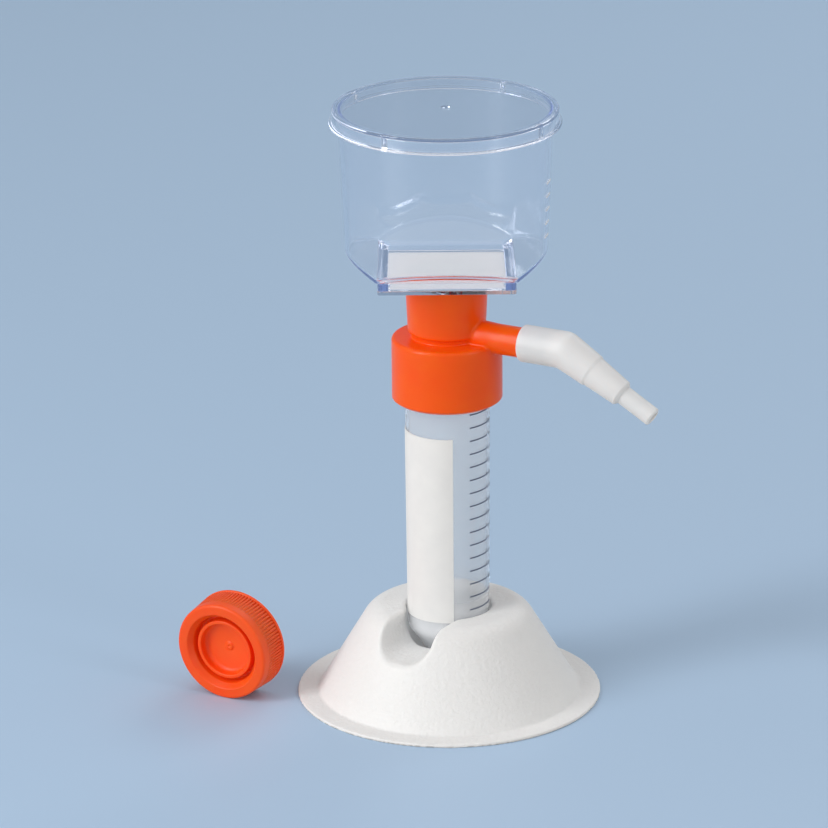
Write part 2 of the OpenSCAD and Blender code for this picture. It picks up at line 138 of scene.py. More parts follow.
class Graph:
    """Adds nodes to one shader or geometry tree."""

    def __init__(self, tree: bpy.types.NodeTree) -> None:
        """Empties the tree and keeps it."""
        self.tree = tree
        tree.nodes.clear()

    def add(
        self,
        kind: str,
        settings: Optional[dict[str, Any]] = None,
        inputs: Optional[dict[Union[str, int], Any]] = None,
        output: Union[str, int] = 0,
    ) -> Value:
        """Adds one node.

        Args:
            kind: the node's type name.
            settings: its properties, which are set first.
            inputs: its sockets by name or number, each a plain value or a Value.
            output: the socket that is returned.

        Returns:
            The chosen output as a Value.
        """
        node = self.tree.nodes.new(kind)
        for name, setting in (settings or {}).items():
            setattr(node, name, setting)
        for key, given in (inputs or {}).items():
            if isinstance(given, Value):
                self.tree.links.new(given.socket, node.inputs[key])
            else:
                node.inputs[key].default_value = given
        return Value(self, node.outputs[output] if len(node.outputs) else None)

    def ramp(self, factor: Value, stops: Sequence[tuple[float, Colour]]) -> Value:
        """A colour ramp over a factor.

        Args:
            factor: the value from 0 to 1 that is looked up.
            stops: positions with their linear colours.

        Returns:
            The ramp's colour.
        """
        made = self.add("ShaderNodeValToRGB", None, {0: factor})
        elements = made.socket.node.color_ramp.elements
        while len(elements) < len(stops):
            elements.new(1.0)
        for element, (position, colour) in zip(elements, stops):
            element.position = position
            element.color = (*colour, 1.0)
        return made

    def ray(self, *kinds: str) -> Value:
        """1 for a light ray of any of the given kinds, such as Camera, otherwise 0."""
        found = [self.add("ShaderNodeLightPath", output=f"Is {kind} Ray") for kind in kinds]
        return reduce(Value.most, found)

    def plastic(self, **sockets: Any) -> Value:
        """A Principled shader.

        Args:
            sockets: its inputs by name, with _ for a space. A colour has three parts.

        Returns:
            The shader.
        """
        inputs = {name.replace("_", " "): given for name, given in sockets.items()}
        if isinstance(inputs["Base Color"], tuple):
            inputs["Base Color"] = (*inputs["Base Color"], 1.0)
        return self.add("ShaderNodeBsdfPrincipled", None, inputs)


# ---------------------------------------------------------------- finishes


def object_point(graph: Graph) -> Value:
    """The place on the piece, in metres."""
    return graph.add("ShaderNodeTexCoord", output="Object")


def noise(graph: Graph, size_mm: float, detail: float = 2.0) -> Value:
    """Noise whose lumps have about the given size."""
    sockets = {"Vector": object_point(graph), "Scale": 1 / (size_mm * MM), "Detail": detail}
    return graph.add("ShaderNodeTexNoise", {"noise_dimensions": "3D"}, sockets)


def mottled(graph: Graph, pattern: Value, dark: Colour, light: Colour) -> Value:
    """A colour that wavers between two tones as a noise does."""
    low, high = 0.3, 0.7
    return graph.ramp(pattern, [(low, dark), (high, light)])


def bumps(graph: Graph, height: Value, depth_mm: float) -> Value:
    """A normal for a surface that rises and falls by the given depth."""
    sockets = {"Height": height, "Strength": 1.0, "Distance": depth_mm * MM}
    return graph.add("ShaderNodeBump", None, sockets)


def scaled(colour: Colour, share: float) -> Colour:
    """A colour made darker or lighter."""
    return tuple(share * part for part in colour)


@dataclass(frozen=True)
class Finish:
    """What a piece is made of. It goes by its material's name."""

    name: str

    @cache
    def material(self) -> bpy.types.Material:
        """Builds the material the first time, and hands out the same one later.

        Returns:
            The material.
        """
        material = bpy.data.materials.new(self.name)
        material.use_nodes = True
        graph = Graph(material.node_tree)
        graph.add("ShaderNodeOutputMaterial", None, self.shading(graph))
        return material

    def shading(self, graph: Graph) -> dict[str, Value]:
        """The shaders for the output node, by socket. Each kind of finish has its own."""
        raise NotImplementedError


@dataclass(frozen=True)
class Moulded(Finish):
    """An opaque moulded plastic or ink, with a fine grain and a soft change of tone."""

    colour: Colour
    shade: Colour
    roughness: float = 0.3
    swing: float = 0.12
    grain_mm: float = 0.5
    grain_depth_mm: float = 0.01
    grain_detail: float = 3.0
    tone_mm: float = 14.0
    glow: float = 0.0
    glow_mm: float = 2.0
    spread: Colour = (1.0, 0.45, 0.3)
    shine: float = 0.5

    def shading(self, graph: Graph) -> dict[str, Value]:
        """The plastic's shader.

        Args:
            graph: the material's graph.

        Returns:
            The surface.
        """
        tone = noise(graph, self.tone_mm)
        grain = noise(graph, self.grain_mm, self.grain_detail)
        surface = graph.plastic(
            Base_Color=mottled(graph, tone, self.shade, self.colour),
            Roughness=self.roughness + (grain - 0.5) * self.swing,
            Normal=bumps(graph, grain, self.grain_depth_mm),
            IOR=PLASTIC_IOR,
            Subsurface_Weight=self.glow,
            Subsurface_Radius=self.spread,
            Subsurface_Scale=self.glow_mm * MM,
            Specular_IOR_Level=self.shine,
        )
        return {"Surface": surface}


@dataclass(frozen=True)
class Clear(Finish):
    """A clear plastic, which lamps shine through and which may be a little hazy.

    Its depth may take up some colour, and its haze may grow towards the foot.
    """

    passed: Colour = (0.97, 0.98, 0.99)
    roughness: float = 0.015
    ior: float = PLASTIC_IOR
    haze: float = 0.0
    haze_colour: Colour = (0.88, 0.9, 0.93)
    haze_roughness: float = 0.35
    foot_haze: float = 0.0
    foot_mm: Span = (27.0, 42.0)
    wave_mm: float = 9.0
    wave_depth_mm: float = 0.004
    body_colour: Colour = (0.64, 0.69, 0.93)
    body_per_m: float = 0.0
    mirrors: float = 2.5  # the depth past which mirror images are passed straight
    mirrors_fade: float = 2.0

    def _cloudiness(self, graph: Graph) -> Union[float, Value]:
        """How hazy the plastic is.

        Args:
            graph: the material's graph.

        Returns:
            One share for the whole piece, or one that grows towards the foot.
        """
        if not self.foot_haze:
            return self.haze
        low, high = (mm * MM for mm in self.foot_mm)
        height = graph.add("ShaderNodeSeparateXYZ", None, {0: object_point(graph)}, output="Z")
        risen = ((height - low) / (high - low)).most(0.0).least(1.0)
        return self.foot_haze - risen * (self.foot_haze - self.haze)

    def shading(self, graph: Graph) -> dict[str, Value]:
        """The clear shader, which shadows, soft light and late mirror images pass straight.

        Args:
            graph: the material's graph.

        Returns:
            The surface, and the volume where the depth takes up colour.
        """
        waves = noise(graph, self.wave_mm, detail=0.0)
        normal = bumps(graph, waves, self.wave_depth_mm)
        glass = graph.plastic(
            Base_Color=WHITE,
            Roughness=self.roughness,
            IOR=self.ior,
            Transmission_Weight=1.0,
            Normal=normal,
        )
        cloud = graph.plastic(
            Base_Color=self.haze_colour,
            Roughness=self.haze_roughness,
            IOR=self.ior,
            Normal=normal,
        )
        mix = "ShaderNodeMixShader"
        hazy = graph.add(mix, None, {0: self._cloudiness(graph), 1: glass, 2: cloud})
        straight = graph.add("ShaderNodeBsdfTransparent", None, {"Color": (*self.passed, 1.0)})
        depth = graph.add("ShaderNodeLightPath", output="Glossy Depth")
        skipped = graph.ray("Shadow", "Diffuse").most((depth - self.mirrors) * self.mirrors_fade)
        ends = {"Surface": graph.add(mix, None, {0: skipped, 1: hazy, 2: straight})}
        if self.body_per_m:
            sockets = {"Color": (*self.body_colour, 1.0), "Density": self.body_per_m}
            ends["Volume"] = graph.add("ShaderNodeVolumeAbsorption", None, sockets)
        return ends


@dataclass(frozen=True)
class Porous(Finish):
    """The filter sheet: white, matte, with a fine felted surface."""

    colour: Colour = (0.9, 0.9, 0.895)
    shade: float = 0.9
    shade_end: float = 0.8
    roughness: float = 0.85
    swing: float = 0.1
    fibre_mm: float = 0.35
    fibre_depth_mm: float = 0.02
    glow: float = 0.7
    glow_mm: float = 0.4
    spread: Colour = WHITE

    def shading(self, graph: Graph) -> dict[str, Value]:
        """The felted sheet's shader.

        Args:
            graph: the material's graph.

        Returns:
            The surface.
        """
        sockets = {"Vector": object_point(graph), "Scale": 1 / (self.fibre_mm * MM)}
        felt = graph.add("ShaderNodeTexVoronoi", {"feature": "SMOOTH_F1"}, sockets)
        darker = scaled(self.colour, self.shade)
        surface = graph.plastic(
            Base_Color=graph.ramp(felt, [(0.0, darker), (self.shade_end, self.colour)]),
            Roughness=self.roughness - felt * self.swing,
            Normal=bumps(graph, felt, self.fibre_depth_mm),
            Subsurface_Weight=self.glow,
            Subsurface_Radius=self.spread,
            Subsurface_Scale=self.glow_mm * MM,
        )
        return {"Surface": surface}


@dataclass(frozen=True)
class Card(Finish):
    """The matte card of the backdrop, which is plainer where it only lights the object."""

    colour: Colour = (0.445, 0.6, 0.79)
    bounce: Colour = (0.6, 0.6, 0.59)
    shade: float = 0.97
    mottle_mm: float = 900.0
    roughness: float = 0.6

    def shading(self, graph: Graph) -> dict[str, Value]:
        """The card's shader.

        Args:
            graph: the material's graph.

        Returns:
            The surface.
        """
        wide = noise(graph, self.mottle_mm, detail=0.0)
        shown = mottled(graph, wide, scaled(self.colour, self.shade), self.colour)
        seen = graph.ray("Camera", "Glossy", "Transmission")
        mixed = {0: seen, 6: (*self.bounce, 1.0), 7: shown}
        colour = graph.add("ShaderNodeMix", {"data_type": "RGBA"}, mixed, output=2)
        return {"Surface": graph.plastic(Base_Color=colour, Roughness=self.roughness)}


ORANGE = Moulded(
    "orange_plastic",
    colour=(0.98, 0.115, 0.002),
    shade=(0.97, 0.09, 0.002),
    roughness=0.3,
    grain_mm=0.9,
    grain_depth_mm=0.002,
    glow=0.4,
    glow_mm=3.0,
    spread=(1.0, 0.15, 0.03),
    shine=0.25,
)
CAP_ORANGE = Moulded(
    "cap_plastic",
    colour=(0.96, 0.1, 0.006),
    shade=(0.95, 0.08, 0.005),
    roughness=0.4,
    grain_mm=0.9,
    grain_depth_mm=0.004,
    glow=0.3,
    glow_mm=2.0,
    spread=(1.0, 0.15, 0.05),
    shine=0.35,
)
STAND_WHITE = Moulded(
    "stand_plastic",
    colour=(0.87, 0.865, 0.855),
    shade=(0.85, 0.845, 0.835),
    roughness=0.52,
    grain_mm=1.4,
    grain_depth_mm=0.3,
    glow=0.4,
    glow_mm=1.0,
    spread=(1.0, 0.97, 0.94),
)
MILKY = Moulded(
    "connector_plastic",
    colour=(0.79, 0.785, 0.785),
    shade=(0.76, 0.755, 0.755),
    roughness=0.42,
    grain_mm=0.6,
    grain_depth_mm=0.004,
    glow=0.9,
    glow_mm=3.5,
    spread=(1.0, 0.9, 0.85),
)
INK_WHITE = Moulded(
    "white_ink",
    colour=(0.84, 0.835, 0.82),
    shade=(0.81, 0.805, 0.795),
    roughness=0.5,
    grain_mm=0.25,
    grain_depth_mm=0.004,
    tone_mm=6.0,
)
INK_BLUE = Moulded(
    "blue_ink",
    colour=(0.12, 0.14, 0.21),
    shade=(0.1, 0.12, 0.18),
    roughness=0.45,
    grain_mm=0.2,
    grain_depth_mm=0.003,
    tone_mm=5.0,
)
SEAL_RUBBER = Moulded(
    "seal_rubber",
    colour=(0.5, 0.5, 0.48),
    shade=(0.44, 0.44, 0.43),
    roughness=0.65,
    grain_mm=0.3,
    grain_depth_mm=0.01,
)
FUNNEL_CLEAR = Clear("funnel_plastic", body_per_m=45.0)
PLATE_CLEAR = Clear("plate_plastic", body_per_m=8.0)
TUBE_CLEAR = Clear("tube_plastic", ior=1.45, roughness=0.06, haze=0.16, foot_haze=0.45)
FILTER_WHITE = Porous("filter_sheet")
BACKDROP_CARD = Card("backdrop_card")


# ---------------------------------------------------------------- meshes


def placed(name: str, data: bpy.types.ID) -> Piece:
    """Puts a mesh, a light or a camera in the scene.

    Args:
        name: the object's name.
        data: what it shows.

    Returns:
        The object, at the origin. A piece stays there, with its place in its mesh.
    """
    made = bpy.data.objects.new(name, data)
    bpy.context.scene.collection.objects.link(made)
    return made


def mesh_object(
    name: str,
    points_mm: Array,
    faces: Iterable[Sequence[int]],
    normals: Optional[Array] = None,
) -> Piece:
    """Makes a smooth mesh piece, which faces outwards where it is closed.

    Args:
        name: the piece's name.
        points_mm: its vertices.
        faces: its faces as vertex numbers.
        normals: the vertices' outward directions, where they are known.

    Returns:
        The piece.
    """
    mesh = bpy.data.meshes.new(name)
    mesh.from_pydata((np.asarray(points_mm) * MM).tolist(), [], list(faces))
    work = bmesh.new()
    work.from_mesh(mesh)
    bmesh.ops.recalc_face_normals(work, faces=work.faces)
    work.to_mesh(mesh)
    work.free()
    mesh.shade_smooth()
    if normals is not None:
        mesh.normals_split_custom_set_from_vertices(normals.tolist())
    return placed(name, mesh)


@dataclass(frozen=True)
class Corner:
    """A corner of a profile: its distance from the axis, its height and its rounding."""

    r: float
    z: float
    round: float = 0.0


def arc(at: Array, back: Array, ahead: Array, radius: float, steps: int) -> list[Array]:
    """Rounds off one corner.

    Args:
        at: the corner.
        back: the way to the corner before it.
        ahead: the way to the corner after it.
        radius: the rounding, which shrinks where the straights are too short for it.
        steps: the number of facets.

    Returns:
        The arc's points in order.
    """
    most = 0.49
    back_length, ahead_length = np.linalg.norm(back), np.linalg.norm(ahead)
    room = most * min(back_length, ahead_length)
    back, ahead = back / back_length, ahead / ahead_length
    half = math.acos(float(np.clip(back @ ahead, -1, 1))) / 2
    reach = min(radius / math.tan(half), room)
    middle = (back + ahead) / np.linalg.norm(back + ahead)
    centre = at + middle * (reach * math.tan(half)) / math.sin(half)
    start, stop = at + back * reach - centre, at + ahead * reach - centre
    sweep = math.pi - 2 * half
    points = []
    for k in range(steps + 1):
        from_start = start * math.sin(sweep * (1 - k / steps))
        from_stop = stop * math.sin(sweep * k / steps)
        points.append(centre + (from_start + from_stop) / math.sin(sweep))
    return points


def rounded(corners: Sequence[Corner], closed: bool, steps: int = 5) -> Array:
    """Rounds a profile's corners and holds its straights flat.

    Args:
        corners: the profile's corners in order.
        closed: whether the last corner joins the first.
        steps: the number of facets in each rounding.

    Returns:
        The profile's points as rows of distance and height.
    """
    hold, hold_share = 0.15, 0.3
    count = len(corners)
    bare = [np.array([corner.r, corner.z], float) for corner in corners]
    arcs: list[list[Array]] = []
    for i, corner in enumerate(corners):
        end = not closed and i in (0, count - 1)
        if end or corner.round <= 0:
            arcs.append([bare[i]])
        else:
            back, ahead = bare[i - 1] - bare[i], bare[(i + 1) % count] - bare[i]
            arcs.append(arc(bare[i], back, ahead, corner.round, steps))
    points: list[Array] = []
    for i, bend in enumerate(arcs):
        points += bend
        if i == count - 1 and not closed:
            break
        first, last = bend[-1], arcs[(i + 1) % count][0]
        length = float(np.linalg.norm(last - first))
        step = (last - first) * min(hold / length, hold_share)
        points += [first + step, last - step]
    return np.array(points)


def refined(rows: Array, longest: float, closed: bool) -> Array:
    """Adds rows where two neighbours are far apart.

    Args:
        rows: a profile's points, or whole rings of points.
        longest: the longest stretch that may stay.
        closed: whether the last row joins the first.

    Returns:
        The rows with the added ones between them.
    """
    full = []
    for i, row in enumerate(rows):
        full.append(row)
        if i == len(rows) - 1 and not closed:
            break
        step = rows[(i + 1) % len(rows)] - row
        stretch = float(np.linalg.norm(step, axis=-1).max())
        pieces = max(1, math.ceil(stretch / longest))
        full += [row + step * k / pieces for k in range(1, pieces)]
    return np.array(full)


def bands(rows: int, total: int, around: int) -> list[tuple[int, ...]]:
    """The four-sided faces between neighbouring rings of points.

    Args:
        rows: the number of bands.
        total: the number of rings, after which the first one follows again.
        around: the number of points in a ring.

    Returns:
        The faces as vertex numbers.
    """
    faces = []
    for i in range(rows):
        here, there = i * around, (i + 1) % total * around
        for j in range(around):
            k = (j + 1) % around
            faces.append((here + j, here + k, there + k, there + j))
    return faces


def loft(name: str, rings: Array, closed: bool) -> Piece:
    """Skins a row of closed rings.

    Args:
        name: the piece's name.
        rings: an array of rings, of points, of coordinates.
        closed: whether the last ring joins the first; otherwise both shrink to poles.

    Returns:
        The piece.
    """
    count, around = rings.shape[:2]
    if closed:
        return mesh_object(name, rings.reshape(-1, 3), bands(count, count, around))
    points = np.concatenate([rings[1:-1].reshape(-1, 3), rings[[0, -1], 0]])
    low_pole, high_pole = len(points) - 2, len(points) - 1
    last = (count - 3) * around
    faces = [(low_pole, (j + 1) % around, j) for j in range(around)]
    faces += [(high_pole, last + j, last + (j + 1) % around) for j in range(around)]
    return mesh_object(name, points, faces + bands(count - 3, count - 2, around))


def capped(name: str, rings: Array) -> Piece:
    """Skins a row of closed rings and closes both its ends flat.

    Args:
        name: the piece's name.
        rings: an array of rings, of points, of coordinates.

    Returns:
        The piece.
    """
    count, around = rings.shape[:2]
    last = (count - 1) * around
    ends = [tuple(range(around)), tuple(last + k for k in reversed(range(around)))]
    return mesh_object(name, rings.reshape(-1, 3), ends + bands(count - 1, count, around))


def turned(name: str, profile: Array, closed: bool) -> Piece:
    """Turns a profile about the Z axis.

    Args:
        name: the piece's name.
        profile: rows of distance and height; an open one starts and ends on the axis.
        closed: whether the last point joins the first.

    Returns:
        The piece.
    """
    turns = np.linspace(0, 2 * math.pi, ROUND_FACETS, endpoint=False)
    angle, r = np.meshgrid(turns, profile[:, 0])
    z = np.repeat(profile[:, 1:], len(turns), axis=1)
    return loft(name, np.stack([r * np.cos(angle), r * np.sin(angle), z], -1), closed)


def meet(a: Array, b: Array, radius: float) -> Array:
    """What two distance fields share, with the edge between them rounded."""
    past = np.hypot(np.maximum(a + radius, 0), np.maximum(b + radius, 0))
    return np.minimum(-radius, np.maximum(a, b)) + past


def join(a: Array, b: Array, radius: float) -> Array:
    """Two distance fields together, with a fillet between them."""
    return -meet(-a, -b, radius)


def gradient(body: Field, points: Array, probe: float) -> Array:
    """How a distance field grows at some points, over twice a probe's length."""
    sides = [body(points + probe * e) - body(points - probe * e) for e in np.eye(3)]
    return np.stack(sides, -1) / (2 * probe)


def field_mesh(name: str, body: Field, low: Vector, high: Vector, step: float) -> Piece:
    """Meshes the solid where a distance field is below zero.

    Args:
        name: the piece's name.
        body: the distance field, on an array of points.
        low: a corner below the solid.
        high: a corner above the solid.
        step: the width of the mesh's cells.

    Returns:
        The piece, with its vertices moved on to the field's zero.
    """
    spare, rounds, flattest, probe = 1.5, 4, 0.25, 0.05 * step
    axes = [
        np.arange(low[i] - spare * step, high[i] + (spare + 1) * step, step) for i in range(3)
    ]
    start = np.array([axis[0] for axis in axes])
    values = body(np.stack(np.meshgrid(*axes, indexing="ij"), -1))
    shape = np.array(values.shape)
    inside = values < 0
    strides = np.array([shape[1] * shape[2], shape[2], 1])
    cells, crossings, quads = [], [], []
    for axis in range(3):
        ahead, side, other = (np.eye(3, dtype=int)[(axis + k) % 3] for k in range(3))
        lower = tuple(slice(0, shape[i] - ahead[i]) for i in range(3))
        upper = tuple(slice(ahead[i], shape[i]) for i in range(3))
        edge = np.argwhere(inside[lower] != inside[upper])
        v0 = values[tuple(edge.T)]
        v1 = values[tuple((edge + ahead).T)]
        crossing = start + step * (edge + (v0 / (v0 - v1))[:, None] * ahead)
        around = [edge - side - other, edge - other, edge, edge - side]
        ids = np.stack([cell @ strides for cell in around], -1)
        cells.append(ids.ravel())
        crossings.append(np.repeat(crossing, 4, axis=0))
        quads.append(np.where((v0 < 0)[:, None], ids, ids[:, ::-1]))
    used, index = np.unique(np.concatenate(cells), return_inverse=True)
    place = np.concatenate(crossings)
    number = np.bincount(index)
    points = np.stack([np.bincount(index, place[:, i]) / number for i in range(3)], -1)
    for _ in range(rounds):
        slope = gradient(body, points, probe)
        size = np.maximum((slope**2).sum(-1), flattest)
        points = points - np.clip(body(points) / size, -step, step)[:, None] * slope
    faces = np.searchsorted(used, np.concatenate(quads))
    slope = gradient(body, points, 2 * probe)
    normals = slope / np.maximum(np.linalg.norm(slope, axis=-1, keepdims=True), TINY)
    return mesh_object(name, points, faces.tolist(), normals)


def joined(name: str, parts: Sequence[Piece]) -> Piece:
    """Joins pieces into the first one.

    Args:
        name: the name that it takes.
        parts: the pieces.

    Returns:
        The first piece, which keeps its shading.
    """
    with bpy.context.temp_override(active_object=parts[0], selected_editable_objects=parts):
        bpy.ops.object.join()
    parts[0].name = name
    return parts[0]


def baked(made: Piece) -> None:
    """Turns a piece's modifiers into plain mesh.

    Args:
        made: the piece, which keeps no modifier.
    """
    graph = bpy.context.evaluated_depsgraph_get()
    mesh = bpy.data.meshes.new_from_object(made.evaluated_get(graph))
    made.modifiers.clear()
    made.data = mesh


def softened(node: str, name: str, width: float) -> Piece:
    """Copies a frame node and rounds its sharp edges.

    Args:
        node: the frame node's name.
        name: the new piece's name.
        width: the width of the rounding.

    Returns:
        The piece, with its modifier applied.
    """
    weld, flat_deg, edge_deg, segments = 0.002 * MM, 0.5, 30.0, 3
    work = bmesh.new()
    work.from_mesh(frame["nodes"][node].data)
    bmesh.ops.remove_doubles(work, verts=work.verts, dist=weld)
    flat = math.radians(flat_deg)
    bmesh.ops.dissolve_limit(work, angle_limit=flat, verts=work.verts, edges=work.edges)
    mesh = bpy.data.meshes.new(name)
    work.to_mesh(mesh)
    work.free()
    made = placed(name, mesh)
    bevel = made.modifiers.new("round", "BEVEL")
    bevel.width = width * MM
    bevel.segments = segments
    bevel.limit_method = "ANGLE"
    bevel.angle_limit = math.radians(edge_deg)
    bevel.harden_normals = False
    baked(made)
    made.data.shade_smooth()
    made.data.set_sharp_from_angle(angle=math.radians(SHARP_DEG))
    return made


def finished(made: Piece, finish: Finish, body: Body, node: str) -> None:
    """Dresses a piece and ties it to the frame.

    Args:
        made: the piece.
        finish: what it is made of.
        body: the body that it moves with.
        node: the frame node that it stands for.
    """
    made.data.materials.clear()
    made.data.materials.append(finish.material())
    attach(made, body.value)
    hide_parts(node)
    logger.info("%s: %d faces on %s", made.name, len(made.data.polygons), body.value)


# ---------------------------------------------------------------- geometry nodes


class Tree:
    """A Geometry Nodes tree with named inputs, built once and used by several pieces."""

    def __init__(self, name: str, inputs: dict[str, str]) -> None:
        """Makes the tree's sockets.

        Args:
            name: the tree's name.
            inputs: the kind of each input socket by its name.
        """
        self.group = bpy.data.node_groups.new(name, "GeometryNodeTree")
        self.graph = Graph(self.group)
        face = self.group.interface
        for label, kind in {"Geometry": "Geometry", **inputs, "Material": "Material"}.items():
            face.new_socket(name=label, in_out="INPUT", socket_type="NodeSocket" + kind)
        face.new_socket(name="Geometry", in_out="OUTPUT", socket_type="NodeSocketGeometry")

    def given(self, name: str) -> Value:
        """One of the tree's inputs."""
        return self.graph.add("NodeGroupInput", output=name)

    def vector(self, **parts: Union[float, Value]) -> Value:
        """A vector of the parts X, Y and Z, each 0 where it isn't given."""
        return self.graph.add("ShaderNodeCombineXYZ", None, parts)

    def end(self, shape: Value) -> None:
        """Realizes the instances, sets the material and ends the tree.

        Args:
            shape: the tree's geometry.
        """
        real = self.graph.add("GeometryNodeRealizeInstances", None, {"Geometry": shape})
        sockets = {"Geometry": real, "Material": self.given("Material")}
        dressed = self.graph.add("GeometryNodeSetMaterial", None, sockets)
        self.graph.add("NodeGroupOutput", None, {"Geometry": dressed})

    def run(self, made: Piece, finish: Finish, **inputs: float) -> Piece:
        """Runs the tree on a piece and keeps the result as plain mesh.

        Args:
            made: the piece.
            finish: what it is made of.
            inputs: the tree's other inputs by name.

        Returns:
            The same piece.
        """
        values = {**inputs, "Material": finish.material()}
        modifier = made.modifiers.new(self.group.name, "NODES")
        modifier.node_group = self.group
        for item in self.group.interface.items_tree:
            if item.in_out == "INPUT" and item.name in values:
                modifier[item.identifier] = values[item.name]
        baked(made)
        made.data.shade_smooth()
        return made


@cache
def copies_tree() -> Tree:
    """Repeats a mesh: each copy is turned, lifted and widened a step more than the last.

    Returns:
        The tree.
    """
    tree = Tree("copies", {"Count": "Int", "Turn": "Float", "Rise": "Float", "Growth": "Float"})
    graph, given = tree.graph, tree.given
    index = graph.add("GeometryNodeInputIndex")
    wide = 1 + index * given("Growth")
    place = tree.vector(Z=index * given("Rise"))
    sockets = {"Count": given("Count"), "Position": place}
    points = graph.add("GeometryNodePoints", None, sockets)
    sockets = {
        "Points": points,
        "Instance": given("Geometry"),
        "Rotation": tree.vector(Z=index * given("Turn")),
        "Scale": tree.vector(X=wide, Y=wide, Z=1.0),
    }
    tree.end(graph.add("GeometryNodeInstanceOnPoints", None, sockets))
    return tree


@cache
def thread_tree() -> Tree:
    """A screw ridge: a trapezoid drawn along a helix, run out at both of its ends.

    Returns:
        The tree.
    """
    facets, run_in, thinnest, crest_share = 96, 9, 0.04, 0.4
    names = ("Turns", "Pitch", "Root", "Depth", "Width")
    tree = Tree("screw_ridge", {name: "Float" for name in names})
    graph, given = tree.graph, tree.given
    sockets = {
        "Resolution": facets,
        "Rotations": given("Turns"),
        "Start Radius": given("Root"),
        "End Radius": given("Root"),
        "Height": given("Turns") * given("Pitch"),
    }
    helix = graph.add("GeometryNodeCurveSpiral", None, sockets)
    level = graph.add("GeometryNodeSetCurveNormal", {"mode": "Z_UP"}, {"Curve": helix})
    along = graph.add("GeometryNodeSplineParameter", output="Factor")
    run_out = (along * run_in).least((1 - along) * run_in).least(1.0).most(thinnest)
    half, crest = given("Width") * 0.5, given("Depth") * -1
    corners = [
        (0.0, half * -1),
        (crest, half * -crest_share),
        (crest, half * crest_share),
        (0.0, half),
    ]
    points = {
        f"Point {i}": tree.vector(X=out, Y=rise, Z=0.0)
        for i, (out, rise) in enumerate(corners, start=1)
    }
    four_sided = "GeometryNodeCurvePrimitiveQuadrilateral"
    section = graph.add(four_sided, {"mode": "POINTS"}, points)
    sockets = {"Curve": level, "Profile Curve": section, "Scale": run_out, "Fill Caps": True}
    tree.end(graph.add("GeometryNodeCurveToMesh", None, sockets))
    return tree


def repeated(
    made: Piece,
    finish: Finish,
    count: int,
    turn: float = 0.0,
    rise: float = 0.0,
    growth: float = 0.0,
) -> Piece:
    """Repeats a piece about and along the Z axis.

    Args:
        made: the piece that is repeated.
        finish: what it is made of.
        count: the number of copies.
        turn: the angle from one copy to the next, in degrees.
        rise: the height from one copy to the next.
        growth: the share of the first one's width by which each copy is wider than the last.

    Returns:
        The same piece, now with all its copies.
    """
    sizes = {"Turn": math.radians(turn), "Rise": rise * MM, "Growth": growth}
    return copies_tree().run(made, finish, Count=count, **sizes)


@dataclass(frozen=True)
class Thread:
    """A screw ridge on a wall, outward where its depth is positive."""

    root_r: float
    depth: float
    low: float
    turns: float
    pitch: float = 4.0
    width: float = 1.5

    def build(self, name: str, finish: Finish) -> Piece:
        """Makes the ridge, with its start at the given height.

        Args:
            name: the piece's name.
            finish: what it is made of.

        Returns:
            The ridge.
        """
        made = mesh_object(name, np.zeros((3, 3)), [])
        thread_tree().run(
            made,
            finish,
            Turns=self.turns,
            Pitch=self.pitch * MM,
            Root=self.root_r * MM,
            Depth=self.depth * MM,
            Width=self.width * MM,
        )
        made.data.transform(Matrix.Translation((0, 0, self.low * MM)))
        return made


# ---------------------------------------------------------------- stand


def facing(azimuth: float) -> Array:
    """The level direction at an azimuth."""
    turn = math.radians(azimuth)
    return np.array([math.sin(turn), -math.cos(turn), 0.0])


